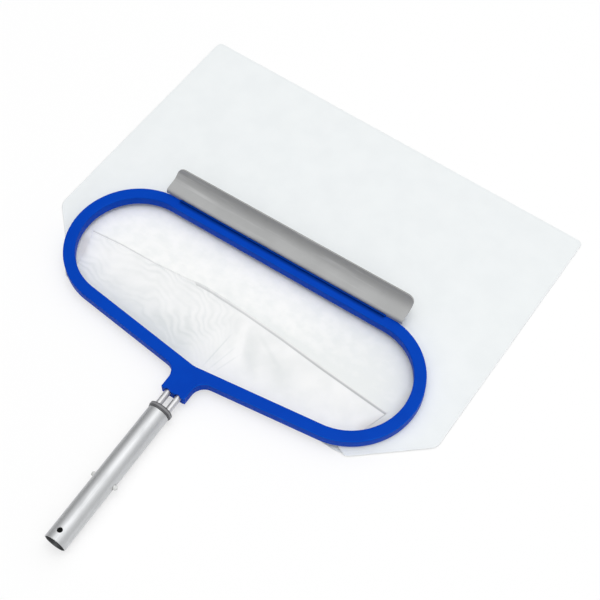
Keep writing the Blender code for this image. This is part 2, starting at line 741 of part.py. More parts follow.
def make_collar_plug(rivet_hole):
    """The plug in the tube's end, with a stepped flange and two blind bores for the rod."""
    flange = FLANGE_DIAMETER / 2
    step = STEP_DIAMETER / 2
    body = BORE_RADIUS - SEAT_GAP
    shoulder = FLANGE_LENGTH + STEP_LENGTH - SEAT_GAP
    ease = FLANGE_EASE
    profile = [(0, shoulder + PLUG_LENGTH), (body - ease, shoulder + PLUG_LENGTH)]
    profile += [(body, shoulder + PLUG_LENGTH - ease), (body, shoulder), (step, shoulder)]
    profile += [(step, FLANGE_LENGTH), (flange, FLANGE_LENGTH), (flange, ease)]
    profile += [(flange - ease, 0), (0, 0)]
    plug = turned("collar_plug", profile, TUBE_STEPS)
    place(as_piece(plug, DARK), (0, FLANGE_FRONT, 0), AXIS_DOWN_HANDLE)
    depth = ROD_GRIP + SEAT_GAP
    for side in (-1, 1):
        bore = cylinder("rod_bore", CHANNEL_HALF, depth + CUT_MARGIN, TURN_STEPS)
        y = FLANGE_FRONT - (depth - CUT_MARGIN) / 2
        cut(plug, place(as_cutter(bore), (side * ROD_SPACING / 2, y, 0), AXIS_DOWN_HANDLE))
    return cut(plug, rivet_hole)


def make_plug_rivet():
    """A flush rivet through the tube's wall into the plug, on the tube's underside."""
    rivet = cylinder("plug_rivet", RIVET_DIAMETER / 2, RIVET_DEPTH)
    as_piece(rivet, ALUMINIUM)
    return place_rivet(rivet, TUBE_RADIUS - RIVET_DEPTH / 2)


def strip_outline(start, end, half):
    """A straight strip with round ends."""
    run = Vector(end) - Vector(start)
    heading = math.atan2(run.y, run.x)
    quarter = math.pi / 2
    first = arc(start, half, heading + quarter, heading + 3 * quarter, FILLET_STEPS)
    last = arc(end, half, heading - quarter, heading + quarter, FILLET_STEPS)
    return first + last


def make_clip_pin(side, reach):
    """The button on a clip arm: a cylinder with a round nose, pointing outwards."""
    radius = PIN_DIAMETER / 2
    tip = TUBE_RADIUS + PIN_PROUD - ARM_ROOT_X
    nose = arc((0, tip - radius), radius, math.pi / 2, 0, 5)
    profile = [(0, tip)] + nose[1:] + [(radius, reach), (0, reach)]
    pin = as_cutter(turned("clip_pin", profile, SMALL_TURN_STEPS))
    return place(pin, (side * ARM_ROOT_X, PIN_Y, 0), (0, side * math.pi / 2, 0))


def make_clip_arm(name, side):
    """One springy arm of the clip, with its origin where it bends."""
    shoulder = math.sqrt(BORE_RADIUS ** 2 - (ARM_HEIGHT / 2) ** 2) - SEAT_GAP
    at_pin = shoulder - ARM_THICKNESS / 2 - ARM_ROOT_X
    outline = strip_outline((0, 0), (side * at_pin, -ARM_LENGTH), ARM_THICKNESS / 2)
    arm = slab(name, [outline], -ARM_HEIGHT / 2, ARM_HEIGHT / 2)
    place(as_piece(arm, CLIP), (side * ARM_ROOT_X, CLIP_Y, 0))
    return combine(arm, make_clip_pin(side, at_pin), "UNION")


def make_clip():
    """The strip's closed end, bent round in a half turn, and both arms."""
    outer = ARM_ROOT_X + ARM_THICKNESS / 2
    inner = ARM_ROOT_X - ARM_THICKNESS / 2
    low = ARM_THICKNESS / 2 + SEAT_GAP
    centre = (0, BEND_DEPTH - outer)
    outline = [(outer, low)] + arc(centre, outer, 0, math.pi, SMALL_TURN_STEPS)
    outline += [(-outer, low), (-inner, low)]
    outline += arc(centre, inner, math.pi, 0, SMALL_TURN_STEPS) + [(inner, low)]
    spine = slab("clip_spine", [outline], -ARM_HEIGHT / 2, ARM_HEIGHT / 2)
    place(as_piece(spine, CLIP), (0, CLIP_Y, 0))
    make_clip_arm("clip_arm_left", -1)
    make_clip_arm("clip_arm_right", 1)


def lie_on_surface():
    """Lift the datum so that the net lies on z = 0, with its middle over the origin."""
    far = max(y for x, y in bag_outline())
    DATUM.location = (0, -(far + TUBE_END) / 2, -FLOOR)


DATUM = bpy.data.objects.new("datum", None)
PARTS.objects.link(DATUM)


def main():
    shell = make_frame_shell()
    make_bow_rod()
    make_retainers()
    make_hem_cord()
    make_hub_cover(shell)
    make_scraper_blade()
    make_floor_sheet()
    make_front_panel()
    make_upper_panel()
    rivet_hole = make_rivet_hole()
    make_handle_tube(rivet_hole)
    make_collar_plug(rivet_hole)
    make_plug_rivet()
    make_clip()
    lie_on_surface()


main()
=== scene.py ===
"""Looks of the leaf skimmer net: its ring frame, blade, spigot, clip and mesh bag.

Every surface is worked out from the ring's datum, as in the CAD: x across the ring, y from
the handle towards the blade with zero at the centres of the ring's round ends, and z from the
ring's middle plane. `new_object` then moves it into the row frame.
"""
import logging
import math
from abc import ABC, abstractmethod
from dataclasses import dataclass, field
from enum import Enum
from typing import Mapping, Sequence, Union

import bmesh
import bpy
import numpy as np
from bpy.types import Material, NodeSocket, Object, World
from mathutils import Matrix, Vector


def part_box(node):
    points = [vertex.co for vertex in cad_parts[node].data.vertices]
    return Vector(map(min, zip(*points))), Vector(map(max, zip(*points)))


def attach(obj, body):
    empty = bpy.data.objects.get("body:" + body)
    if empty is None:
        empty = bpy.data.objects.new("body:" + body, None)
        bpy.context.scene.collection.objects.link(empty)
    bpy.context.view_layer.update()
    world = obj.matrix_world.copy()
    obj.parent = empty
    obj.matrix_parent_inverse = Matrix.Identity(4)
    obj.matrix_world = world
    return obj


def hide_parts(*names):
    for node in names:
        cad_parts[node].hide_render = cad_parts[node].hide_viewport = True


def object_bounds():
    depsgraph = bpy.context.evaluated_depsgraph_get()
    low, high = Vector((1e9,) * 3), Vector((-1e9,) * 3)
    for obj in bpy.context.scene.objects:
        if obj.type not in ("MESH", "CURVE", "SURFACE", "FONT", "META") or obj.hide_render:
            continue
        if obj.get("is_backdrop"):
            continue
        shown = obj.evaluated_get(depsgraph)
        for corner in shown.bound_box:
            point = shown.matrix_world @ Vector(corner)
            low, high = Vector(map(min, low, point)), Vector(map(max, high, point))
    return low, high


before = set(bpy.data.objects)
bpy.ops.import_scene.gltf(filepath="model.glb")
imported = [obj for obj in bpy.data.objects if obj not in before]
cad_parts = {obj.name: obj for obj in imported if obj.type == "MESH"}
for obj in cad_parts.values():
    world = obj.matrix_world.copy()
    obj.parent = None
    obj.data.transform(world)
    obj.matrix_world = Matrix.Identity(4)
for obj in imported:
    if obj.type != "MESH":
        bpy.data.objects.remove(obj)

LOG = logging.getLogger("leaf_skimmer_net")
MM = 0.001
TURN = 2 * math.pi
QUARTER = math.pi / 2
ROUNDED = math.radians(35)  # edges sharper than this are eased
PAST = 2 * MM               # how far a cutter goes past what it cuts
TUBE_START = -169.8 * MM    # the spigot's plug end, from the datum
UV_NAME = "Flat"            # metres along and across each piece's own surface

_tube_low, _tube_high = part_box("handle_tube")
DATUM = np.array([0.0, _tube_high.y - TUBE_START, (_tube_low.z + _tube_high.z) / 2])

Number = Union[float, "Value"]
Colour = tuple[float, float, float]
Spot = tuple[float, float]
Ramp = tuple[float, float, float, float]
Scale = Union[float, tuple[float, float, float]]


# Shader arithmetic


class Value:
    """A socket that does arithmetic: each operator adds one Math node."""

    def __init__(self, nodes: "Nodes", socket: NodeSocket) -> None:
        """Wraps an output socket of one material's nodes."""
        self.nodes = nodes
        self.socket = socket

    def _math(self, operation: str, other: Number = 0.0) -> "Value":
        """The result of a Math node on the value and another."""
        return self.nodes.node("ShaderNodeMath", {"operation": operation}, {0: self, 1: other})

    def __add__(self, other: Number) -> "Value":
        """self + other."""
        return self._math("ADD", other)

    def __sub__(self, other: Number) -> "Value":
        """self - other."""
        return self._math("SUBTRACT", other)

    def __mul__(self, other: Number) -> "Value":
        """self times other."""
        return self._math("MULTIPLY", other)

    def __pow__(self, other: Number) -> "Value":
        """self to the power other."""
        return self._math("POWER", other)

    def sine(self) -> "Value":
        """The sine of the value in radians."""
        return self._math("SINE")

    def maximum(self, other: Number) -> "Value":
        """The larger of two values."""
        return self._math("MAXIMUM", other)

    def absolute(self) -> "Value":
        """The value without its sign."""
        return self._math("ABSOLUTE")

    def ramp(self, low: float, high: float, start: float = 0.0, end: float = 1.0) -> "Value":
        """A smooth step: start where the value is low or less, end where it is high or more."""
        inputs = {"Value": self, "From Min": low, "From Max": high, "To Min": start,
                  "To Max": end}
        return self.nodes.node("ShaderNodeMapRange", {"interpolation_type": "SMOOTHSTEP"},
                               inputs)

    def fall(self, low: float, high: float) -> "Value":
        """1 where the value is low or less, and 0 where it is high or more."""
        return self.ramp(low, high, 1.0, 0.0)


@dataclass(frozen=True)
class Cloud:
    """Soft noise, through the piece's body or, if flat, along its own surface.

    Where two of its values are given, it is drawn out between them, from least to 1.
    """

    scale: Scale
    detail: float
    between: Spot | None = None
    least: float = 0.0
    flat: bool = False


class Nodes:
    """The nodes of one new material or world."""

    def __init__(self, owner: Union[Material, World]) -> None:
        """Starts without any nodes."""
        owner.use_nodes = True
        self.owner = owner
        self.tree = owner.node_tree
        self.tree.nodes.clear()

    def node(self, kind: str, settings: Mapping[str, object],
             inputs: Mapping[Union[str, int], object], output: Union[str, int] = 0) -> Value:
        """Adds a node.

        Args:
            kind: Blender's name for the node type.
            settings: properties, set before the sockets.
            inputs: a value, colour or Value for each socket, by name or number.
            output: the output socket to return.

        Returns:
            The output socket as a Value.
        """
        made = self.tree.nodes.new(kind)
        for name, value in settings.items():
            setattr(made, name, value)
        for name, value in inputs.items():
            if isinstance(value, Value):
                self.tree.links.new(value.socket, made.inputs[name])
            else:
                made.inputs[name].default_value = value
        return Value(self, made.outputs[output])

    def _scaled(self, point: Value, scale: Scale) -> Value:
        """A point times one scale, or times one for each axis."""
        axes = scale if isinstance(scale, tuple) else (scale,) * 3
        return self.node("ShaderNodeMapping", {"vector_type": "POINT"},
                         {"Vector": point, "Scale": axes})

    def place(self, scale: Scale = 1.0) -> Value:
        """The point on the piece in metres, scaled."""
        return self._scaled(self.node("ShaderNodeTexCoord", {}, {}, "Object"), scale)

    def flat(self, scale: Scale = 1.0) -> Value:
        """The point along the piece's own surface in metres, scaled."""
        return self._scaled(self.node("ShaderNodeUVMap", {"uv_map": UV_NAME}, {}), scale)

    def axis(self, where: Value, name: str) -> Value:
        """One coordinate of a place."""
        return self.node("ShaderNodeSeparateXYZ", {}, {0: where}, name)

    def flat_axes(self) -> tuple[Value, Value]:
        """Both coordinates of the point along the piece's own surface, in metres."""
        where = self.flat()
        return self.axis(where, "X"), self.axis(where, "Y")

    def cloud(self, look: Cloud) -> Value:
        """A cloud's value at the point, 0 to 1."""
        where = self.flat(look.scale) if look.flat else self.place(look.scale)
        noise = self.node("ShaderNodeTexNoise", {"noise_dimensions": "3D"},
                          {"Vector": where, "Scale": 1.0, "Detail": look.detail})
        return noise.ramp(*look.between, look.least) if look.between else noise

    def attribute(self, name: str) -> Value:
        """A number kept on the mesh's points."""
        return self.node("ShaderNodeAttribute", {"attribute_name": name}, {}, "Fac")

    def blend(self, share: Number, first: Union[Colour, Value],
              second: Union[Colour, Value]) -> Value:
        """A colour from first at share 0 to second at share 1."""
        # A Mix node's colours are its inputs 6 and 7, and its output 2.
        inputs = {0: share, 6: opaque(first), 7: opaque(second)}
        return self.node("ShaderNodeMix", {"data_type": "RGBA"}, inputs, 2)

    def bump(self, height: Value, depth: float) -> Value:
        """A normal for a relief of that depth in metres."""
        return self.node("ShaderNodeBump", {},
                         {"Height": height, "Distance": depth, "Strength": 1.0})

    def output(self, shader: Value, kind: str = "ShaderNodeOutputMaterial") -> None:
        """Ends in a shader, through an output node of that kind."""
        end = self.tree.nodes.new(kind)
        self.tree.links.new(shader.socket, end.inputs["Surface"])


def opaque(colour: Union[Colour, Value]) -> Union[tuple[float, ...], Value]:
    """A colour with its alpha of 1, or the Value as it is."""
    return colour if isinstance(colour, Value) else (*colour, 1.0)


def shaded(colour: Colour, share: float) -> Colour:
    """A colour with each of its parts times a share."""
    return tuple(share * part for part in colour)


# Finishes


@dataclass(frozen=True)
class Finish(ABC):
    """A look of two colours: it varies over a piece from the first to the deep one."""

    name: str
    colour: Colour
    deep: Colour

    @abstractmethod
    def inputs(self, n: Nodes) -> dict[str, object]:
        """What goes into the Principled shader's sockets, by name."""

    def material(self) -> Material:
        """The finish's material, made the first time that it is asked for."""
        made = bpy.data.materials.get(self.name)
        if made is None:
            made = bpy.data.materials.new(self.name)
            n = Nodes(made)
            n.output(n.node("ShaderNodeBsdfPrincipled", {}, self.inputs(n)))
        return made


@dataclass(frozen=True)
class PaintedLightBand:
    """A soft-edged strip of painted shade or highlight across y, reaching as far to both sides of
    x = 0.
    """

    middle: float
    half: float
    fade: float
    colour: Colour
    reach: float = 1.0

    def share(self, n: Nodes) -> Value:
        """How far a point is in the strip, 0 to 1."""
        where = n.place()
        across = (n.axis(where, "Y") - self.middle).absolute()
        along = n.axis(where, "X").absolute()
        return across.fall(self.half - self.fade, self.half) * along.fall(
            self.reach - self.fade, self.reach)


@dataclass(frozen=True)
class MouldedPlastic(Finish):
    """A moulded plastic: faint flow marks, fine grain, scuffs that dull the gloss, painted shade
    and highlights.
    """

    roughness: float
    gloss: float
    # A band of painted shade or painted highlight, broken up by the rub noise down to its least
    # share.
    band: PaintedLightBand
    band_least: float = 0.8
    # Paler streaks along x: a painted sheen.
    sheen_streak: float = 0.0
    sheen_streak_gain: float = 1.3
    # A painted highlight on rounded edges, and how much paler it makes them.
    edge_highlight: float = 0.0
    highlight_paler: Colour = (0.0, 0.08, 0.22)
    highlight_side: Spot = (0.2, 0.7)
    highlight_from: Spot = (0.3, 0.55)
    highlight_until: Spot = (0.85, 0.97)
    ior: float = 1.49
    grain: float = 0.012 * MM
    grain_size: float = 0.45 * MM
    grain_rough: float = 0.06
    scuff: float = 0.16
    flow: Cloud = Cloud(24.0, 4.0, (0.35, 0.68))
    rub: Cloud = Cloud((90.0, 260.0, 90.0), 5.0, (0.56, 0.72))
    run: Cloud = Cloud((9.0, 150.0, 150.0), 3.0, (0.52, 0.74))
    patch: Cloud = Cloud(14.0, 2.0, (0.35, 0.6), 0.2)

    def _edge_highlight_share(self, n: Nodes) -> Value:
        """How much painted highlight a rounded edge that faces +x and -y gets: 0 on flats, in
        patches.
        """
        normal = n.node("ShaderNodeTexCoord", {}, {}, "Normal")
        up = n.axis(normal, "Z")
        side = (n.axis(normal, "X") - n.axis(normal, "Y")).ramp(*self.highlight_side)
        edge = up.ramp(*self.highlight_from) * up.fall(*self.highlight_until)
        return edge * side * n.cloud(self.patch) * self.edge_highlight

    def inputs(self, n: Nodes) -> dict[str, object]:
        """The plastic's sockets."""
        speck = n.cloud(Cloud(1 / self.grain_size, 2.0))
        rub = n.cloud(self.rub)
        colour = n.blend(n.cloud(self.flow), self.colour, self.deep)
        # Painted shade or painted highlight in the band.
        in_band = self.band.share(n) * (rub * (1 - self.band_least) + self.band_least)
        colour = n.blend(in_band, colour, self.band.colour)
        # Painted sheen: paler streaks along x.
        if self.sheen_streak:
            pale = shaded(self.colour, self.sheen_streak_gain)
            colour = n.blend(n.cloud(self.run) * self.sheen_streak, colour, pale)
        # Painted highlight on the rounded edges.
        if self.edge_highlight:
            pale = tuple(part + more for part, more in zip(self.colour, self.highlight_paler))
            colour = n.blend(self._edge_highlight_share(n), colour, pale)
        rough = rub * self.scuff + speck * self.grain_rough + self.roughness
        return {"Base Color": colour, "Roughness": rough, "Specular IOR Level": self.gloss,
                "IOR": self.ior, "Normal": n.bump(speck, self.grain)}


@dataclass(frozen=True)
class DrawnMetal(Finish):
    """Metal drawn through a die: fine lines along the piece's own length, and dull clouds."""

    roughness: float
    bore: float = 0.0
    bore_edge: float = 0.15 * MM
    bore_shade: Colour = (0.13, 0.133, 0.138)
    # Colour of the painted shade inside the bore, and how far it goes.
    bore_shade_share: float = 0.85
    line_width: float = 0.35 * MM
    line_length: float = 90 * MM
    line_depth: float = 0.006 * MM
    line_share: float = 0.6
    line_rough: float = 0.14
    cloud: Cloud = Cloud((60.0, 22.0, 1.0), 3.0, flat=True)
    cloud_rough: float = 0.08
    dull_from: Spot = (0.36, 0.66)
    rough_from: Spot = (0.45, 0.75)

    def _inside(self, n: Nodes) -> Value:
        """1 nearer the spigot's axis than the bore's wall, and 0 beyond it."""
        where = n.place()
        x, z = n.axis(where, "X"), n.axis(where, "Z") - float(DATUM[2])
        return ((x * x + z * z) ** 0.5).fall(self.bore, self.bore + self.bore_edge)

    def inputs(self, n: Nodes) -> dict[str, object]:
        """The metal's sockets."""
        fine = (1 / self.line_width, 1 / self.line_length, 1.0)
        lines = n.cloud(Cloud(fine, 3.0, flat=True))
        cloud = n.cloud(self.cloud)
        share = lines * self.line_share + cloud * (1 - self.line_share)
        colour = n.blend(share.ramp(*self.dull_from), self.colour, self.deep)
        # Painted shade: the bore's inner wall is darkened.
        if self.bore:
            colour = n.blend(self._inside(n) * self.bore_shade_share, colour, self.bore_shade)
        rough = lines * self.line_rough + cloud.ramp(*self.rough_from) * self.cloud_rough
        return {"Base Color": colour, "Metallic": 1.0, "Roughness": rough + self.roughness,
                "Normal": n.bump(lines, self.line_depth)}


@dataclass(frozen=True)
class TurnedSteel(Finish):
    """Small turned fasteners: bright, with fine grain and a few dull spots."""

    roughness: float
    fine: Cloud = Cloud(1800.0, 2.0)
    fine_rough: float = 0.1
    depth: float = 0.004 * MM
    spot: Cloud = Cloud(260.0, 4.0, (0.5, 0.75))
    spot_rough: float = 0.2

    def inputs(self, n: Nodes) -> dict[str, object]:
        """The steel's sockets."""
        fine, spot = n.cloud(self.fine), n.cloud(self.spot)
        rough = spot * self.spot_rough + fine * self.fine_rough + self.roughness
        return {"Base Color": n.blend(spot, self.colour, self.deep), "Metallic": 1.0,
                "Roughness": rough, "Normal": n.bump(fine, self.depth)}


@dataclass(frozen=True)
class MilkyPlastic(Finish):
    """Unpigmented plastic: light goes a little way in."""

    roughness: float = 0.26
    cloud: Cloud = Cloud(420.0, 3.0)
    cloud_rough: float = 0.12
    deep_from: Spot = (0.35, 0.7)
    depth: float = 0.02 * MM
    milk: float = 0.35
    milk_reach: float = 4 * MM
    milk_scale: float = 0.6
    ior: float = 1.46

    def inputs(self, n: Nodes) -> dict[str, object]:
        """The plastic's sockets."""
        cloud = n.cloud(self.cloud)
        return {"Base Color": n.blend(cloud.ramp(*self.deep_from), self.colour, self.deep),
                "Roughness": cloud * self.cloud_rough + self.roughness,
                "Subsurface Weight": self.milk, "Subsurface Radius": (self.milk_reach,) * 3,
                "Subsurface Scale": self.milk_scale, "IOR": self.ior,
                "Normal": n.bump(cloud, self.depth)}


@dataclass(frozen=True)
class Crease:
    """A soft straight line on the cloth between two places, all in mm."""

    start: Spot
    end: Spot
    width: float
    strength: float

    def shade(self, n: Nodes) -> Value:
        """Its strength on the line, and 0 past its width; in the cloths' colours, a share of
        painted shade or light.

        It fades over the width on both sides, and over a third of its length at both ends.

        Args:
            n: the nodes of the cloth's material.

        Returns:
            How far the point takes the crease's tone.
        """
        length = math.dist(self.start, self.end) * MM
        cosine, sine = [(b - a) * MM / length for a, b in zip(self.start, self.end)]
        x, y = n.flat_axes()
        x, y = x - self.start[0] * MM, y - self.start[1] * MM
        along = x * cosine + y * sine
        beside = (y * cosine - x * sine).absolute().fall(0.0, self.width * MM)
        ends = along.ramp(0.0, length / 3) * along.fall(2 * length / 3, length)
        return beside * ends * self.strength

    def ridge(self, x: np.ndarray, y: np.ndarray) -> np.ndarray:
        """Its relief: strength exp(-(distance / width)^2), down to 0 at both its ends.

        Args:
            x: metres across the ring.
            y: metres along the handle, of the same shape.

        Returns:
            The height at each point in metres.
        """
        start, run = np.array(self.start) * MM, np.subtract(self.end, self.start) * MM
        x, y = x - start[0], y - start[1]
        share = np.clip((x * run[0] + y * run[1]) / (run @ run), 0.0, 1.0)
        far = np.hypot(x - share * run[0], y - share * run[1])
        fade = np.sin(share * math.pi) ** 0.5
        return self.strength * MM * np.exp(-((far / (self.width * MM)) ** 2)) * fade


@dataclass(frozen=True)
class KnittedMesh(Finish):
    """Fine white knitted mesh, with a sewn edge where the cloth's `edge` attribute is small."""

    # Lines of painted shade along folds and beside the seam, and painted light where a strength is
    # below 0.
    shade_and_light_lines: tuple[Crease, ...] = ()
    # Painted shadows in the nooks by the ring's round ends, in the painted shadow's colour.
    shadowed_nooks: tuple[Crease, ...] = ()
    painted_shadow: Colour = (0.42, 0.36, 0.31)
    pitch: float = 1.15 * MM
    relief: float = 0.05 * MM
    stitch_row: float = 3.4 * MM
    stitch_width: float = 0.5 * MM
    stitch_pitch: float = 3.2 * MM
    stitch_ends: Spot = (-0.5, 0.1)
    stitch_depth: float = 1.4
    stitch_dark: float = 0.15
    stitch_tone: float = 0.72
    knit_share: float = 0.3
    knit_rough: float = -0.1
    cloud: Cloud = Cloud((30.0, 30.0, 1.0), 4.0, (0.3, 0.72), flat=True)
    cloud_share: float = 0.45
    roughness: float = 0.95
    sheen: float = 0.12
    sheen_rough: float = 0.5
    gloss: float = 0.2

    def _knit(self, n: Nodes) -> Value:
        """Columns of loops: the product of two waves that run across each other, 0 to 1."""
        where = n.flat(TURN / self.pitch)
        return n.axis(where, "X").sine() * n.axis(where, "Y").sine() * 0.5 + 0.5

    def _sewn(self, n: Nodes) -> Value:
        """1 on a stitch of the row along the edge, and 0 beside it."""
        row = (n.attribute("edge") - self.stitch_row).absolute()
        dash = n.attribute("along") * (TURN / self.stitch_pitch)
        return (row.fall(self.stitch_width / 2, self.stitch_width)
                * dash.sine().ramp(*self.stitch_ends))

    def pattern(self, n: Nodes, knit: Value) -> tuple[Value, Value]:
        """How far the colour goes to the deep one, and the relief's height."""
        return knit * self.knit_share + n.cloud(self.cloud) * self.cloud_share, knit

    def trim(self, n: Nodes, colour: Value, sewn: Value) -> Value:
        """The colour with its stitches."""
        return n.blend(sewn * self.stitch_dark, colour, shaded(self.deep, self.stitch_tone))

    def inputs(self, n: Nodes) -> dict[str, object]:
        """The cloth's sockets."""
        knit, sewn = self._knit(n), self._sewn(n)
        shade, height = self.pattern(n, knit)
        # Painted shade along each line, or painted light where its strength is below 0.
        for crease in self.shade_and_light_lines:
            shade = shade + crease.shade(n)
        colour = self.trim(n, n.blend(shade, self.colour, self.deep), sewn)
        # Painted shadow in each nook.
        for shaded_nook in self.shadowed_nooks:
            colour = n.blend(shaded_nook.shade(n), colour, self.painted_shadow)
        return {"Base Color": colour, "Roughness": knit * self.knit_rough + self.roughness,
                "Sheen Weight": self.sheen, "Sheen Roughness": self.sheen_rough,
                "Specular IOR Level": self.gloss,
                "Normal": n.bump(height - sewn * self.stitch_depth, self.relief)}


@dataclass(frozen=True)
class PebbledMesh(KnittedMesh):
    """Mesh that lies on another layer, with a pebbled look that deepens to the right."""

    knit_share: float = 0.1
    knit_height: float = 0.4
    cloud_share: float = 0.3
    pebble: Cloud = Cloud((70.0, 90.0, 1.0), 6.0, (0.36, 0.66), flat=True)
    pebble_share: float = 0.35
    right: Spot = (0.02, 0.20)
    right_share: float = 0.65

    def pattern(self, n: Nodes, knit: Value) -> tuple[Value, Value]:
        """As before, with the pebbles."""
        pebble = n.cloud(self.pebble)
        right = n.flat_axes()[0].ramp(*self.right)
        shade = (super().pattern(n, knit)[0] + pebble * self.pebble_share
                 + right * self.right_share)
        return shade, knit * self.knit_height + pebble


@dataclass(frozen=True)
class DoubledMesh(KnittedMesh):
    """Two cloths that beat against each other in contour bands, up to a rolled seam."""

    knit_share: float = 0.08
    cloud_share: float = 0.28
    ring_turn: float = -0.115
    ring_slope: float = 0.10
    ring_steep: float = 3.6
    ring_density: float = 84.0
    ring_sharp: float = 1.4
    ring_share: float = 0.45
    bend: Cloud = Cloud((13.0, 15.0, 1.0), 2.0, flat=True)
    bend_rings: float = 8.5
    wander: Cloud = Cloud((46.0, 60.0, 1.0), 2.0, flat=True)
    wander_rings: float = 1.1
    patch: Cloud = Cloud((9.0, 12.0, 1.0), 2.0, (0.38, 0.6), 0.25, flat=True)
    # Painted shade along the near rail, falling off towards the seam.
    near: Ramp = (-0.085, -0.025, 0.8, 0.0)
    left: Spot = (-0.06, 0.025)
    seam_dark: float = 1.6 * MM
    seam_fade: float = 1.4
    seam_step: Spot = (-0.078, -0.072)
    seam_widening: float = -0.6
    seam_left: Ramp = (-0.19, -0.09, 0.5, 0.1)
    seam_right: Ramp = (-0.02, 0.19, 0.35, 0.62)
    shadow: Colour = (0.33, 0.34, 0.35)

    def _rings(self, n: Nodes) -> Value:
        """Contour bands, 0 to 1.

        They follow the near edge, turn down towards the hub, and wander with a slow noise,
        as the grain of wood does: (1/2 + 1/2 sin(turn (density (slope x + steep t^2 + y) +
        bend + wander)))^sharp, where t is how far x is past the turn.
        """
        x, y = n.flat_axes()
        past = (x - self.ring_turn).maximum(0.0)
        run = (x * self.ring_slope + past * past * self.ring_steep + y) * self.ring_density
        run = run + n.cloud(self.bend) * self.bend_rings + n.cloud(self.wander) * self.wander_rings
        return ((run * TURN).sine() * 0.5 + 0.5) ** self.ring_sharp

    def _seam(self, n: Nodes) -> Value:
        """How far the rolled seam takes the painted shadow: sharp inside, fading to its edge, and
        wider at right.
        """
        x = n.flat_axes()[0]
        right = x.ramp(*self.seam_step)
        depth = n.attribute("edge") * (right * self.seam_widening + 1.0)
        line = (depth.ramp(0.0, self.seam_dark)
                * depth.fall(self.seam_dark, self.seam_fade * self.seam_dark))
        return line * (x.ramp(*self.seam_left) + right * x.ramp(*self.seam_right))

    def pattern(self, n: Nodes, knit: Value) -> tuple[Value, Value]:
        """As before, with the contour bands and a painted shade along the near rail, both at left.
        """
        x, y = n.flat_axes()
        bands = self._rings(n) * n.cloud(self.patch) * self.ring_share + y.ramp(*self.near)
        return super().pattern(n, knit)[0] + bands * x.fall(*self.left), knit

    def trim(self, n: Nodes, colour: Value, sewn: Value) -> Value:
        """The colour with its stitches and the seam's painted shadow."""
        return n.blend(self._seam(n), super().trim(n, colour, sewn), self.shadow)


@dataclass(frozen=True)
class TwistedCord(Finish):
    """Cord laid from twisted yarns: its grooves climb one turn in each lay."""

    lay: float = 4.0 * MM
    yarns: int = 3
    girth: float = 7.5 * MM
    groove: Spot = (-0.9, -0.1)
    depth: float = 0.15 * MM
    roughness: float = 0.85
    sheen: float = 0.2

    def inputs(self, n: Nodes) -> dict[str, object]:
        """The cord's sockets."""
        x, y = n.flat_axes()
        starts = TURN * self.yarns
        twist = (x * (starts / self.girth) + y * (starts / self.lay)).sine()
        return {"Base Color": n.blend(twist.fall(*self.groove), self.colour, self.deep),
                "Roughness": self.roughness, "Sheen Weight": self.sheen,
                "Normal": n.bump(twist, self.depth)}


# Painted shadow of the blade on the far rail.
BLADE_SHADOW_BAND = PaintedLightBand(DATUM[1] + 89.5 * MM, 6.6 * MM, 4.2 * MM, (0.0, 0.024, 0.200), 158.0 * MM)
# Painted shade: the blade darkens towards its curled edge.
CURL_SHADE_BAND = PaintedLightBand(DATUM[1] + 124.0 * MM, 24.0 * MM, 20.0 * MM, (0.325, 0.327, 0.327))
# Painted highlight: a paler strip round the collar's flange.
COLLAR_HIGHLIGHT_BAND = PaintedLightBand(DATUM[1] - 166.0 * MM, 1.5 * MM, 0.45 * MM, (0.27, 0.27, 0.28))
BLUE = MouldedPlastic("blue_polypropylene", (0.0, 0.057, 0.485), (0.0, 0.051, 0.455), 0.33,
                      gloss=0.035, band=BLADE_SHADOW_BAND, edge_highlight=0.35)
GREY = MouldedPlastic("grey_blade_plastic", (0.425, 0.430, 0.430), (0.390, 0.395, 0.395), 0.37,
                      gloss=0.3, band=CURL_SHADE_BAND, sheen_streak=0.5)
DARK = MouldedPlastic("dark_collar_plastic", (0.120, 0.122, 0.128), (0.095, 0.097, 0.102), 0.42,
                      gloss=0.3, band=COLLAR_HIGHLIGHT_BAND)
TUBE_METAL = DrawnMetal("satin_tube_aluminium", (0.66, 0.67, 0.68), (0.595, 0.605, 0.615), 0.48,
                        bore=13.1 * MM)
ROD_METAL = DrawnMetal("bright_rod_aluminium", (0.71, 0.71, 0.72), (0.63, 0.63, 0.64), 0.45)
STEEL = TurnedSteel("screw_steel", (0.60, 0.60, 0.60), (0.42, 0.42, 0.42), 0.22)
RIVET_METAL = TurnedSteel("rivet_aluminium", (0.74, 0.75, 0.76), (0.518, 0.525, 0.532), 0.30)
CLIP = MilkyPlastic("milky_clip_plastic", (0.70, 0.71, 0.70), (0.60, 0.61, 0.60))
CORD = TwistedCord("hem_cord_yarn", (0.80, 0.80, 0.78), (0.45, 0.45, 0.43))

# Painted shadows in the nooks beside the ring's round ends.
NOOK_SHADOWS = (Crease((-238.0, -6.0), (-218.0, -46.0), 10.0, 0.28),
         Crease((203.0, -56.0), (236.0, -14.0), 14.0, 0.26),
         Crease((237.0, -20.0), (233.0, 34.0), 12.0, 0.16))
# A painted shadow on the floor sheet beside the front panel's seam.
SEAM_SHADOW_LINE = (Crease((-75.0, 17.0), (310.0, -19.0), 17.0, 0.75),)
# Painted shade along the folds that run from the hub.
HUB_FOLD_SHADES = (Crease((1.8, -90.0), (6.2, -22.0), 1.8, 0.5),
            Crease((9.0, -90.0), (22.0, -34.0), 1.8, 0.35),
            Crease((16.3, -88.0), (33.0, -40.0), 2.0, 0.35))
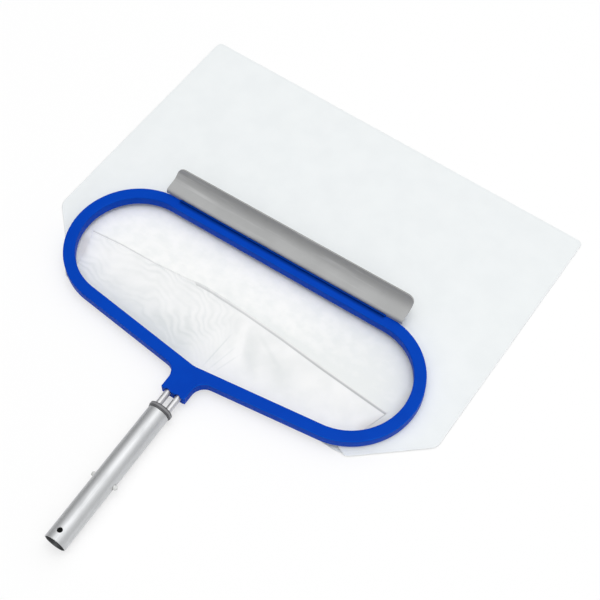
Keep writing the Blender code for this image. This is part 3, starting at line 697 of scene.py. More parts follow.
# Painted shade along folds by the seam, and painted light on the ridge whose strength is below 0.
SEAM_FOLD_SHADES = (Crease((8.0, 4.0), (34.0, -62.0), 9.0, -0.35),
             Crease((18.0, -2.0), (66.0, -74.0), 15.0, 0.42),
             Crease((24.0, -3.0), (92.0, -40.0), 5.0, 0.22),
             Crease((45.8, -22.0), (123.3, -56.0), 24.0, 0.35))
TOP_CLOTH = KnittedMesh("mesh_top", (0.885, 0.915, 0.922), (0.838, 0.870, 0.880))
FLOOR_CLOTH = PebbledMesh("mesh_floor", (0.981, 0.984, 0.972), (0.857, 0.880, 0.872),
                          SEAM_SHADOW_LINE, NOOK_SHADOWS)
FRONT_CLOTH = DoubledMesh("mesh_front", (0.946, 0.950, 0.945), (0.745, 0.772, 0.770),
                          HUB_FOLD_SHADES + SEAM_FOLD_SHADES, NOOK_SHADOWS)


# Meshes


def link(thing: Object) -> Object:
    """Puts an object in the scene."""
    bpy.context.scene.collection.objects.link(thing)
    return thing


def new_object(name: str, points: np.ndarray, faces: Sequence[Sequence[int]]) -> Object:
    """An object with these faces between points from the datum, in the row frame."""
    mesh = bpy.data.meshes.new(name)
    mesh.from_pydata((points + DATUM).tolist(), [], faces)
    return link(bpy.data.objects.new(name, mesh))


def surface(name: str, points: np.ndarray, rows_closed: bool = False,
            columns_closed: bool = False, uv: np.ndarray | None = None) -> Object:
    """Skins a grid of points with quads.

    Point (i, j) is joined to (i + 1, j), (i + 1, j + 1) and (i, j + 1), and a closed
    direction goes round to its start.

    Args:
        name: the new object's name.
        points: rows x columns x 3, from the datum.
        rows_closed: whether the last row joins the first.
        columns_closed: whether the last column joins the first.
        uv: metres on the surface, with one more row or column where that way is closed.

    Returns:
        The object.
    """
    rows, columns = points.shape[:2]
    i, j = np.meshgrid(np.arange(rows - (not rows_closed)),
                       np.arange(columns - (not columns_closed)), indexing="ij")
    i, j = i.ravel(), j.ravel()
    corners = [(i, j), (i + 1, j), (i + 1, j + 1), (i, j + 1)]
    faces = np.stack([(a % rows) * columns + b % columns for a, b in corners], axis=1)
    thing = new_object(name, points.reshape(-1, 3), faces.tolist())
    if uv is not None:
        index = np.stack([a * uv.shape[1] + b for a, b in corners], axis=1).ravel()
        layer = thing.data.uv_layers.new(name=UV_NAME)
        layer.data.foreach_set("uv", uv.reshape(-1, 2)[index].ravel())
    return thing


class Axis(Enum):
    """The direction that a prism runs in: the order that puts (a, b, level) into x, y, z."""

    X = (2, 0, 1)
    Y = (0, 2, 1)
    Z = (0, 1, 2)


def raised(flat: np.ndarray, level: Union[float, np.ndarray]) -> np.ndarray:
    """A grid of flat points with a level as their z."""
    return np.concatenate([flat, np.broadcast_to(level, flat.shape[:-1])[..., None]], axis=-1)


def prism(name: str, outline: np.ndarray, low: float, high: float, axis: Axis = Axis.Z
          ) -> Object:
    """An outline carried straight along an axis, with a flat face at both ends.

    Args:
        name: the new object's name.
        outline: points x 2, along the other two axes in the order x, y, z.
        low: where it starts on the axis.
        high: where it ends.
        axis: the axis.

    Returns:
        The closed object.
    """
    points = np.concatenate([raised(outline, low), raised(outline, high)])
    count = len(outline)
    start = np.arange(count)
    after = (start + 1) % count
    sides = np.stack([start, after, after + count, start + count], axis=1).tolist()
    caps = [start[::-1].tolist(), (start + count).tolist()]
    return weld(new_object(name, points[:, list(axis.value)], sides + caps))


def bar(name: str, low: Spot, high: Spot, half: float) -> Object:
    """A square bar between two (y, z) corners, reaching half to both sides along x."""
    corners = np.array([low, (high[0], low[1]), high, (low[0], high[1])])
    return prism(name, corners, -half, half, Axis.X)


def pin(centre: Spot, radius: float, low: float, high: float, axis: Axis = Axis.Z,
        steps: int = 48) -> Object:
    """A round bar along an axis, made to cut a hole."""
    return prism("pin", arc(centre, radius, 0.0, TURN, steps + 1)[:-1], low, high, axis)


def weld(thing: Object, reach: float = 0.002 * MM) -> Object:
    """Merges points that meet, and turns a closed shell's faces outwards.

    Args:
        thing: the object.
        reach: how near points are to be merged.

    Returns:
        The same object.
    """
    shape = bmesh.new()
    shape.from_mesh(thing.data)
    bmesh.ops.remove_doubles(shape, verts=shape.verts, dist=reach)
    bmesh.ops.recalc_face_normals(shape, faces=shape.faces)
    shape.to_mesh(thing.data)
    shape.free()
    return thing


def bake(thing: Object) -> Object:
    """Puts the result of an object's modifiers into its mesh."""
    graph = bpy.context.evaluated_depsgraph_get()
    mesh = bpy.data.meshes.new_from_object(thing.evaluated_get(graph), depsgraph=graph,
                                           preserve_all_data_layers=True)
    thing.modifiers.clear()
    thing.data = mesh
    return thing


def carve(target: Object, tool: Object, operation: str = "DIFFERENCE") -> None:
    """Cuts a closed tool out of a closed solid and removes the tool.

    Args:
        target: the solid.
        tool: the tool.
        operation: the Boolean, which can be UNION to join the tool on instead.
    """
    change = target.modifiers.new("Carve", "BOOLEAN")
    change.operation = operation
    change.solver = "MANIFOLD"
    change.object = tool
    bake(target)
    bpy.data.objects.remove(tool, do_unlink=True)


def ease(thing: Object, width: float, segments: int = 3) -> Object:
    """Rounds an object's sharp edges.

    Args:
        thing: the object.
        width: how far the round goes from the edge.
        segments: how many faces it has.

    Returns:
        The same object.
    """
    bevel = thing.modifiers.new("Ease", "BEVEL")
    bevel.width = width
    bevel.segments = segments
    bevel.limit_method = "ANGLE"
    bevel.angle_limit = ROUNDED
    return bake(thing)


def join(first: Object, second: Object) -> Object:
    """Puts the second object's mesh into the first object's, and returns that."""
    shape = bmesh.new()
    for thing in (first, second):
        shape.from_mesh(thing.data)
    shape.to_mesh(first.data)
    shape.free()
    bpy.data.objects.remove(second, do_unlink=True)
    return first


def smooth(thing: Object, angle: float) -> Object:
    """Shades an object smoothly, with edges over that angle in degrees kept sharp."""
    thing.data.shade_smooth()
    thing.data.set_sharp_from_angle(angle=math.radians(angle))
    return thing


def arc(centre: Spot, radius: float, start: float, end: float, count: int) -> np.ndarray:
    """count points on an arc, both ends included: centre + radius (cos a, sin a)."""
    angle = np.linspace(start, end, count)
    return np.asarray(centre) + radius * np.column_stack([np.cos(angle), np.sin(angle)])


def line(start: Sequence[float], end: Sequence[float], count: int) -> np.ndarray:
    """count points on a straight line, without its end."""
    share = np.linspace(0.0, 1.0, count, endpoint=False)[:, None]
    return np.asarray(start) * (1 - share) + np.asarray(end) * share


def both_sides(half: np.ndarray) -> np.ndarray:
    """A line that ends at x = 0, carried on by its mirror image."""
    return np.concatenate([half, half[-2::-1] * np.array([-1.0, 1.0])])


def lengths(points: np.ndarray, closed: bool = False) -> np.ndarray:
    """Length along a line at each of its points, and back at its start if closed."""
    if closed:
        points = np.concatenate([points, points[:1]])
    steps = np.linalg.norm(np.diff(points, axis=0), axis=1)
    return np.concatenate([[0.0], np.cumsum(steps)])


def wrapped(girth: float, steps: int, along: np.ndarray) -> np.ndarray:
    """UVs that go round a body: its girth across the columns, and a length for each row."""
    round_it = np.linspace(0.0, girth, steps + 1)[None, :]
    return np.stack(np.broadcast_arrays(round_it, along[:, None]), axis=2)


def smooth_step(share: np.ndarray) -> np.ndarray:
    """3 s^2 - 2 s^3, held at 0 below 0 and at 1 above 1."""
    share = np.clip(share, 0.0, 1.0)
    return share * share * (3 - 2 * share)


def turned(name: str, profile: np.ndarray, steps: int, closed: bool) -> Object:
    """A turned body about the spigot's axis: (r cos a, y, r sin a).

    Args:
        name: the new object's name.
        profile: points x 2, each a radius and a y.
        steps: how many faces round the axis.
        closed: whether the profile is a closed loop, and otherwise it ends on the axis.

    Returns:
        The welded object.
    """
    angle = TURN * np.arange(steps) / steps
    radius, y = profile[:, 0], profile[:, 1]
    points = np.stack([np.outer(radius, np.cos(angle)), np.tile(y[:, None], steps),
                       np.outer(radius, np.sin(angle))], axis=2)
    uv = wrapped(TURN * radius.max(), steps, lengths(profile, closed))
    return weld(surface(name, points, closed, True, uv))


def swept(name: str, path: np.ndarray, radius: float, level: float, sides: int) -> Object:
    """A round bar along a flat path, with flat ends.

    Each ring is path + radius (cos a * across + sin a * up), and across is square to the
    path.

    Args:
        name: the new object's name.
        path: points x 2.
        radius: the bar's radius.
        level: z of its centreline.
        sides: how many faces go round it.

    Returns:
        The welded object.
    """
    heading = np.gradient(path, axis=0)
    heading /= np.linalg.norm(heading, axis=1, keepdims=True)
    across = np.column_stack([heading[:, 1], -heading[:, 0]])
    angle = TURN * np.arange(sides) / sides
    flat = path[:, None, :] + radius * np.cos(angle)[None, :, None] * across[:, None, :]
    rings = raised(flat, level + radius * np.sin(angle))
    start, end = [np.broadcast_to([*path[k], level], (1, sides, 3)) for k in (0, -1)]
    along = lengths(path)
    uv = wrapped(TURN * radius, sides, np.concatenate([[0.0], along, along[-1:]]))
    return weld(surface(name, np.concatenate([start, rings, end]), False, True, uv))


def dress(thing: Object, finish: Finish, slot: str, body: str, *nodes: str) -> None:
    """Gives a piece its finish and place in the frame.

    Args:
        thing: the piece.
        finish: its finish.
        slot: a material slot's name; not used.
        body: the body that it rides on.
        nodes: the CAD nodes that it stands for.
    """
    cover(thing, finish)
    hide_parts(*nodes)
    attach(thing, body)
    LOG.info("%s: %d faces, stands for %s", thing.name, len(thing.data.polygons),
             ", ".join(nodes))


def cover(thing: Object, finish: Finish) -> None:
    """Makes a finish the object's only material."""
    thing.data.materials.clear()
    thing.data.materials.append(finish.material())


# Ring frame and rod


@dataclass(frozen=True)
class RingPlan:
    """The ring's lines seen from above, each some way, lateral, outside its centreline."""

    half_straight: float = 162.5 * MM
    end_radius: float = 84.5 * MM
    width: float = 15.4 * MM
    height: float = 14.8 * MM
    rail_slope: float = math.radians(6.9)
    vertex_radius: float = 30.0 * MM
    neck_width: float = 34.0 * MM
    neck_end: float = -141.0 * MM
    neck_fillet: float = 18.0 * MM
    neck_corner: float = 1.2 * MM
    rod_spacing: float = 15.0 * MM
    rod_bend: float = 14.0 * MM
    arc_points: int = 90
    rail_points: int = 40
    neck_points: tuple[int, int, int, int] = (12, 4, 8, 12)
    rod_points: tuple[int, int] = (12, 14)

    def rail_y(self, x: np.ndarray, lateral: float) -> np.ndarray:
        """y of a near rail's line at x."""
        across = (self.half_straight - np.abs(x)) * math.tan(self.rail_slope)
        return -(self.end_radius + lateral) / math.cos(self.rail_slope) - across

    def end_arc(self, lateral: float) -> np.ndarray:
        """The right round end, from the near rail to the far rail."""
        return arc((self.half_straight, 0.0), self.end_radius + lateral,
                   self.rail_slope - QUARTER, QUARTER, self.arc_points)

    def neck_arc(self, leg_x: float, lateral: float, radius: float, shift: float,
                 count: int) -> np.ndarray:
        """The round corner between a leg and the near rail.

        Args:
            leg_x: where the leg is.
            lateral: which of the rail's lines it runs into.
            radius: the corner's radius.
            shift: how far the arc is then moved outwards.
            count: how many points it has.

        Returns:
            Its points, from the leg.
        """
        x = leg_x + radius
        y = self.rail_y(x, lateral) - radius / math.cos(self.rail_slope)
        return arc((x, y), radius - shift, math.pi, QUARTER + self.rail_slope, count)

    def far_half(self, start: np.ndarray, lateral: float) -> np.ndarray:
        """From a point on the near rail round the end to the middle of the far rail."""
        end = self.end_arc(lateral)
        middle = np.array([0.0, end[-1, 1]])
        return np.concatenate([line(start, end[0], self.rail_points)[1:], end,
                               line(end[-1], middle, self.rail_points)[1:], [middle]])

    def outer_half(self, inset: float) -> np.ndarray:
        """The frame's outer edge from the neck's middle to the far rail's.

        Args:
            inset: how far it is moved inwards.

        Returns:
            Its points.
        """
        across, corner, leg, fillet = self.neck_points
        edge, end, radius = self.neck_width / 2 - inset, self.neck_end + inset, self.neck_corner
        turn = arc((edge - radius, end + radius), radius, -QUARTER, 0.0, corner)
        hollow = self.neck_arc(self.neck_width / 2, self.width / 2, self.neck_fillet, -inset,
                               fillet)
        return np.concatenate([
            line((0.0, end), turn[0], across), turn, line(turn[-1], hollow[0], leg)[1:],
            hollow, self.far_half(hollow[-1], self.width / 2 - inset)])

    def inner_half(self, inset: float) -> np.ndarray:
        """The mouth's edge from the near vertex to the far rail's middle.

        The vertex is an arc, and beyond it y follows the rail's line.

        Args:
            inset: how far it is moved outwards.

        Returns:
            As many points as outer_half has.
        """
        lateral = inset - self.width / 2
        radius = self.vertex_radius + inset
        x = np.linspace(0.0, self.neck_width / 2 + self.neck_fillet, sum(self.neck_points) - 1)
        centre = self.rail_y(0.0, lateral) + radius / math.cos(self.rail_slope)
        bowl = centre - np.sqrt(np.maximum(radius * radius - x * x, 0.0))
        near = x < radius * math.sin(self.rail_slope)
        first = np.column_stack([x, np.where(near, bowl, self.rail_y(x, lateral))])
        return np.concatenate([first, self.far_half(first[-1], lateral)])

    def rod_line(self, leg_end: float, shift: float = 0.0) -> np.ndarray:
        """The rod's centreline, from one leg round the ring to the other.

        Args:
            leg_end: y of both its ends.
            shift: how far it is moved outwards.

        Returns:
            Its points.
        """
        leg_points, bend_points = self.rod_points
        bend = self.neck_arc(self.rod_spacing / 2, 0.0, self.rod_bend, shift, bend_points)
        leg = line((self.rod_spacing / 2 + shift, leg_end), bend[0], leg_points)
        return both_sides(np.concatenate([leg, bend, self.far_half(bend[-1], shift)]))

    def closed(self, half: np.ndarray) -> np.ndarray:
        """The whole loop of a right half that starts and ends at x = 0."""
        return both_sides(half)[:-1]


@dataclass
class RingFrame:
    """The moulded ring, with the hub and the seat of the blade."""

    plan: RingPlan
    edge_radius: float = 1.5 * MM
    edge_steps: int = 7
    top_columns: int = 12
    crown: float = 0.12 * MM
    crown_reach: float = 5.3 * MM
    channel_half: float = 4.55 * MM
    cover_rim: float = 2.6 * MM
    cover_reach: float = 25.3 * MM
    pocket_depth: float = 2.7 * MM
    pocket_points: int = 24
    notch_radius: float = 5.6 * MM
    notch_depth: float = 1.6 * MM
    notch_steps: int = 64
    seat_length: float = 314.0 * MM
    seat_low: float = -1.6 * MM
    seat_high: float = 10.7 * MM
    seat_edge: float = 0.7 * MM
    lip_front: float = 88.3 * MM
    seat_back: float = 95.1 * MM
    slot_front: float = 90.3 * MM
    slot_back: float = 93.3 * MM
    slot_floor: float = 1.1 * MM
    screws: tuple[Spot, ...] = ((0.0, 14.0), (0.0, 29.0), (-20.5, 29.5), (20.5, 29.5))
    screw_hole: float = 1.75 * MM
    screw_top: float = 2.6 * MM
    screw_steps: int = 24
    sharp: float = 32.0

    def _lines(self, edges: Sequence[np.ndarray], levels: np.ndarray) -> list[np.ndarray]:
        """Each flat line at its own level."""
        return [raised(points, level) for points, level in zip(edges, levels)]

    def _top(self, outer: np.ndarray, inner: np.ndarray, share: float) -> np.ndarray:
        """One line of the crowned top, at a share of the way from the outer edge."""
        span = np.linalg.norm(inner - outer, axis=1)
        near = np.minimum(min(share, 1 - share) * span / self.crown_reach, 1.0)
        level = self.plan.height / 2 - self.crown * (1 - near) ** 2
        return raised(outer * (1 - share) + inner * share, level)

    def body(self) -> Object:
        """The solid ring: its section goes once round at each place along both edges.

        Corners are quarter rounds, inset r (1 - cos a) and z up by r sin a. Between them the
        top runs straight from one edge to the other, and falls towards both by
        crown (1 - d / reach)^2, where d is the distance from the nearer edge.

        Returns:
            The closed ring, with nothing cut out of it.
        """
        plan, half = self.plan, self.plan.height / 2
        angle = np.linspace(0.0, QUARTER, self.edge_steps)
        insets = self.edge_radius * (1 - np.cos(angle))
        rises = self.edge_radius * np.sin(angle)
        outer = [plan.closed(plan.outer_half(inset)) for inset in insets]
        inner = [plan.closed(plan.inner_half(inset)) for inset in insets]
        high = half - self.crown - self.edge_radius + rises
        low = self.edge_radius - half - rises
        columns = self._lines(outer, high)
        for share in np.linspace(0.0, 1.0, self.top_columns + 2)[1:-1]:
            columns.append(self._top(outer[-1], inner[-1], share))
        columns += self._lines(inner[::-1], high[::-1]) + self._lines(inner, low)
        columns += self._lines(outer[::-1], low[::-1])
        return weld(surface("ring_frame", np.stack(columns, axis=1), True, True))

    def _pocket(self) -> np.ndarray:
        """The outline of the hub's recess for its cover."""
        plan, rim, reach = self.plan, self.cover_rim, self.cover_reach
        corner = plan.neck_arc(plan.neck_width / 2, plan.width / 2, plan.neck_fillet, -rim,
                               self.pocket_points)
        lateral = rim - plan.width / 2
        right = np.concatenate([
            [[plan.neck_width / 2 - rim, plan.neck_end - PAST]], corner[corner[:, 0] < reach],
            [[reach, plan.rail_y(reach, -lateral)], [reach, plan.rail_y(reach, lateral)],
             [0.0, plan.rail_y(0.0, lateral)]]])
        return both_sides(right)

    def _blade_seat(self, body: Object) -> None:
        """The raised lip and the outer wall that carry the blade, with its tongue's slot."""
        half = self.seat_length / 2
        seat = bar("seat", (self.lip_front, self.seat_low), (self.seat_back, self.seat_high), half)
        carve(body, ease(seat, self.seat_edge), "UNION")
        carve(body, bar("slot", (self.slot_front, self.slot_floor),
                        (self.slot_back, self.seat_high + 2 * PAST), half + PAST))

    def _underside(self, body: Object) -> None:
        """The channel of the rod and the hem, the cover's recess and the screws' holes."""
        plan = self.plan
        deep = -plan.height / 2 - PAST
        sides = [plan.rod_line(plan.neck_end - 1.5 * PAST, shift)
                 for shift in (self.channel_half, -self.channel_half)]
        channel = np.concatenate([sides[0], sides[1][::-1]])
        carve(body, prism("channel", channel, deep, self.channel_half))
        carve(body, prism("pocket", self._pocket(), deep, self.pocket_depth - plan.height / 2))
        for x, y in self.screws:
            centre = (x * MM, plan.neck_end + y * MM)
            carve(body, pin(centre, self.screw_hole, deep, self.screw_top,
                            steps=self.screw_steps))

    def build(self) -> None:
        """Builds the frame, with a notch above each leg of the rod, and sets it in place."""
        plan = self.plan
        body = self.body()
        self._blade_seat(body)
        self._underside(body)
        notch_y = plan.neck_end - self.notch_radius + self.notch_depth
        for side in (-1, 1):
            carve(body, pin((side * plan.rod_spacing / 2, notch_y), self.notch_radius, 0.0,
                            2 * plan.height, steps=self.notch_steps))
        dress(smooth(weld(body), self.sharp), BLUE, "frame_plastic", "net", "frame_shell")


@dataclass
class BentRod:
    """The rod inside the ring, with its two legs."""

    plan: RingPlan
    radius: float = 4.25 * MM
    leg_end: float = -189.8 * MM
    sides: int = 28
    sharp: float = 50.0

    def build(self) -> None:
        """Builds the rod."""
        rod = swept("bent_rod", self.plan.rod_line(self.leg_end), self.radius, 0.0, self.sides)
        dress(smooth(rod, self.sharp), ROD_METAL, "aluminium", "net", "bow_rod")


@dataclass
class ScoopBlade:
    """The curled blade on the far rail, with its tongue."""

    plane: float = 91.8 * MM
    length: float = 359.0 * MM
    thickness: float = 2.2 * MM
    foot: float = 7.7 * MM
    rise: float = 13.6 * MM
    bend: float = 2.6 * MM
    flat: float = 14.5 * MM
    flat_slope: float = math.radians(6.0)
    curl_radius: float = 15.5 * MM
    curl: float = math.radians(66.0)
    edge: float = 4.0 * MM
    corner: float = 10.0 * MM
    rounding: float = 0.75 * MM
    tongue_half: float = 156.7 * MM
    tongue_low: float = 1.4 * MM
    tongue_overlap: float = 1.0 * MM
    tongue_edge: float = 0.3 * MM
    columns: int = 120
    rows: tuple[int, int, int, int, int] = (5, 9, 12, 26, 9)
    sharp: float = 40.0

    def section(self) -> np.ndarray:
        """The blade's middle line across the rail: foot, bend, level part, curl and edge.

        Returns:
            Points x 2, each a y from the blade's plane and a z.
        """
        foot_rows, bend_rows, flat_rows, curl_rows, edge_rows = self.rows
        slope = self.flat_slope
        along = np.array([math.cos(slope), math.sin(slope)])
        across = np.array([-along[1], along[0]])
        reach = self.bend * math.tan((QUARTER - slope) / 2)
        turn = arc((self.bend, self.rise - reach), self.bend, math.pi, QUARTER + slope,
                   bend_rows)
        knee = np.array([0.0, self.rise]) + along * self.flat
        start = slope - QUARTER
        curl = arc(knee + across * self.curl_radius, self.curl_radius, start, start + self.curl,
                   curl_rows)
        out = np.array([-math.sin(start + self.curl), math.cos(start + self.curl)])
        tip = curl[-1] + out * self.edge * np.linspace(0.0, 1.0, edge_rows)[1:, None]
        return np.concatenate([line((0.0, self.foot), turn[0], foot_rows), turn,
                               line(turn[-1], knee, flat_rows)[1:], curl, tip])

    def sheet(self) -> Object:
        """The blade: its middle line carried along x, with two round upper corners.

        Within the corner radius R of the top, the half length is
        L - R + sqrt(R^2 - (z - top + R)^2).

        Returns:
            The blade without its tongue.
        """
        section = self.section()
        over = np.clip(section[:, 1] - section[:, 1].max() + self.corner, 0.0, self.corner)
        half = self.length / 2 - self.corner + np.sqrt(self.corner ** 2 - over ** 2)
        x = np.outer(half, np.sin(np.linspace(-1.0, 1.0, self.columns) * QUARTER))
        y, z, along = [np.broadcast_to(values[:, None], x.shape) for values in
                       (section[:, 0] + self.plane, section[:, 1], lengths(section))]
        blade = surface("scoop_blade", np.stack([x, y, z], axis=2),
                        uv=np.stack([x, along], axis=2))
        wall = blade.modifiers.new("Wall", "SOLIDIFY")
        wall.thickness = self.thickness
        wall.offset = 0.0
        wall.use_even_offset = True
        return ease(weld(bake(blade)), self.rounding)

    def build(self) -> None:
        """Builds the blade and its tongue."""
        half = self.thickness / 2
        tongue = bar("tongue", (self.plane - half, self.tongue_low),
                     (self.plane + half, self.foot + self.tongue_overlap), self.tongue_half)
        blade = join(self.sheet(), ease(tongue, self.tongue_edge, 2))
        dress(smooth(blade, self.sharp), GREY, "blade_plastic", "net", "scraper_blade")


# Spigot and clip


@dataclass
class Spigot:
    """The tube that goes into the pole, and the collar and plug that hold the rod."""

    plan: RingPlan
    outer: float = 14.25 * MM
    inner: float = 13.05 * MM
    tube_length: float = 195.5 * MM
    tube_rows: int = 62
    lip: float = 0.4 * MM
    lip_reach: float = 1.0 * MM
    end_hole: float = 3.4 * MM
    end_hole_offset: float = 12.7 * MM
    pin_y: float = -274.0 * MM
    pin_hole: float = 3.9 * MM
    pin_shift: float = 0.25 * MM
    flange_front: float = -163.3 * MM
    flange: float = 15.5 * MM
    flange_length: float = 4.0 * MM
    step: float = 14.8 * MM
    step_length: float = 2.2 * MM
    collar_edge: float = 0.8 * MM
    collar_nook: float = 0.15 * MM
    plug: float = 12.75 * MM
    plug_length: float = 32.0 * MM
    bore: float = 4.55 * MM
    bore_depth: float = 26.8 * MM
    rivet_offset: float = 14.0 * MM
    rivet_hole: float = 2.3 * MM
    rivet_floor: float = 9.4 * MM
    rivet_tilt: float = math.radians(225.0)
    rivet_steps: int = 32
    cutter: float = 20.0 * MM
    round_steps: int = 6
    steps: int = 96
    tube_sharp: float = 32.0
    collar_sharp: float = 28.0

    def _rounded(self, corners: Sequence[tuple[float, float, float]]) -> np.ndarray:
        """A profile through corners, each cut back and replaced by a quadratic curve.

        Args:
            corners: for each, a radius, a y and how far it is cut back, or 0 to keep it.

        Returns:
            The profile's points.
        """
        points = np.array([[r, y] for r, y, _ in corners])
        parts = []
        for k, (_, _, cut) in enumerate(corners):
            if cut == 0.0:
                parts.append(points[k:k + 1])
                continue
            before = points[k - 1] - points[k]
            after = points[(k + 1) % len(points)] - points[k]
            start = points[k] + before / np.linalg.norm(before) * cut
            end = points[k] + after / np.linalg.norm(after) * cut
            s = np.linspace(0.0, 1.0, self.round_steps)[:, None]
            parts.append((1 - s) ** 2 * start + 2 * s * (1 - s) * points[k] + s * s * end)
        return np.concatenate(parts)

    def _lip(self, first: float, second: float, y: float, back: float) -> np.ndarray:
        """The tube's rounded end at y, from one radius to the other."""
        corners = [(first, y + back, 0.0), (first, y, self.lip), (second, y, self.lip),
                   (second, y + back, 0.0)]
        return self._rounded(corners)[1:-1]

    def _rivet_cutter(self) -> Object:
        """A cutter for the rivet's hole, from outside to just past the rivet's inner end."""
        tool = pin((0.0, TUBE_START - self.rivet_offset), self.rivet_hole, self.rivet_floor,
                   self.cutter, steps=self.rivet_steps)
        middle = Matrix.Translation(Vector(DATUM))
        tilt = Matrix.Rotation(self.rivet_tilt, 4, "Y")
        tool.data.transform(middle @ tilt @ middle.inverted())
        return tool

    def tube(self) -> None:
        """The tube, a closed ring profile turned about y, with its holes."""
        start, end, back = TUBE_START, TUBE_START - self.tube_length, self.lip_reach
        rows = np.linspace(start - back, end + back, self.tube_rows)
        outside = np.column_stack([np.full(len(rows), self.outer), rows])
        inside = np.column_stack([np.full(len(rows), self.inner), rows[::-1]])
        profile = np.concatenate([outside, self._lip(self.outer, self.inner, end, back), inside,
                                  self._lip(self.inner, self.outer, start, -back)])
        tube = turned("spigot_tube", profile, self.steps, True)
        holes = ((self.pin_hole, (self.pin_y - self.pin_shift, 0.0), Axis.X),
                 (self.end_hole, (0.0, end + self.end_hole_offset), Axis.Z))
        for radius, centre, axis in holes:
            carve(tube, pin(centre, radius, -self.cutter, self.cutter, axis))
        carve(tube, self._rivet_cutter())
        dress(smooth(tube, self.tube_sharp), TUBE_METAL, "aluminium", "net", "handle_tube")

    def collar(self) -> None:
        """The collar with its step, and the plug behind it, bored for the rod's legs."""
        front = self.flange_front
        back = front - self.flange_length
        shoulder = back - self.step_length
        end = shoulder - self.plug_length
        profile = self._rounded([
            (0.0, front, 0.0), (self.flange, front, self.collar_edge),
            (self.flange, back, self.collar_edge / 2), (self.step, back, self.collar_nook),
            (self.step, shoulder, self.collar_edge / 2),
            (self.plug, shoulder, self.collar_nook), (self.plug, end, self.collar_edge),
            (0.0, end, 0.0)])
        collar = turned("collar", profile, self.steps, False)
        for side in (-1, 1):
            carve(collar, pin((side * self.plan.rod_spacing / 2, 0.0), self.bore,
                              front - self.bore_depth, front + PAST, Axis.Y))
        carve(collar, self._rivet_cutter())
        dress(smooth(collar, self.collar_sharp), DARK, "collar_plastic", "net", "collar_plug")

    def build(self) -> None:
        """Builds the tube and the collar."""
        self.tube()
        self.collar()


@dataclass
class SpringClip:
    """The two arms of the clip in the tube, each with its button."""

    hinge_x: float = 4.5 * MM
    hinge_y: float = -214.0 * MM
    arm_length: float = 60.0 * MM
    arm_thickness: float = 2.2 * MM
    arm_height: float = 8.0 * MM
    arm_spread: float = 6.52 * MM
    arm_edge: float = 0.4 * MM
    arm_steps: int = 14
    pin_radius: float = 3.3 * MM
    pin_tip: float = 18.75 * MM
    pin_rows: int = 12
    pin_sides: int = 40
    sharp: float = 40.0

    def _arm(self, side: int) -> Object:
        """A straight strip with round ends, from the hinge to behind its button."""
        start = np.array([side * self.hinge_x, self.hinge_y])
        run = np.array([side * self.arm_spread, -self.arm_length])
        heading = math.atan2(run[1], run[0])
        ends = [arc(place, self.arm_thickness / 2, heading + turn, heading + turn + math.pi,
                    self.arm_steps)
                for place, turn in ((start, QUARTER), (start + run, -QUARTER))]
        half = self.arm_height / 2
        return ease(prism("arm", np.concatenate(ends), -half, half), self.arm_edge, 2)

    def _button(self, side: int) -> Object:
        """A pin with a round nose, turned about x: (x, r cos a, r sin a)."""
        radius, root = self.pin_radius, self.hinge_x + self.arm_spread
        nose = arc((self.pin_tip - radius, 0.0), radius, 0.0, QUARTER, self.pin_rows)
        profile = np.concatenate([nose, [[root, radius], [root, 0.0]]])
        angle = TURN * np.arange(self.pin_sides) / self.pin_sides
        x = np.tile(side * profile[:, :1], len(angle))
        y = np.outer(profile[:, 1], np.cos(angle)) + self.hinge_y - self.arm_length
        z = np.outer(profile[:, 1], np.sin(angle))
        return weld(surface("button", np.stack([x, y, z], axis=2), False, True))

    def build(self) -> None:
        """Builds both arms."""
        for side, word in ((-1, "left"), (1, "right")):
            arm = join(self._arm(side), self._button(side))
            arm.name = f"{word}_button_arm"
            dress(smooth(arm, self.sharp), CLIP, "clip_plastic", f"{word}_clip_arm",
                  f"clip_arm_{word}")


# Bag


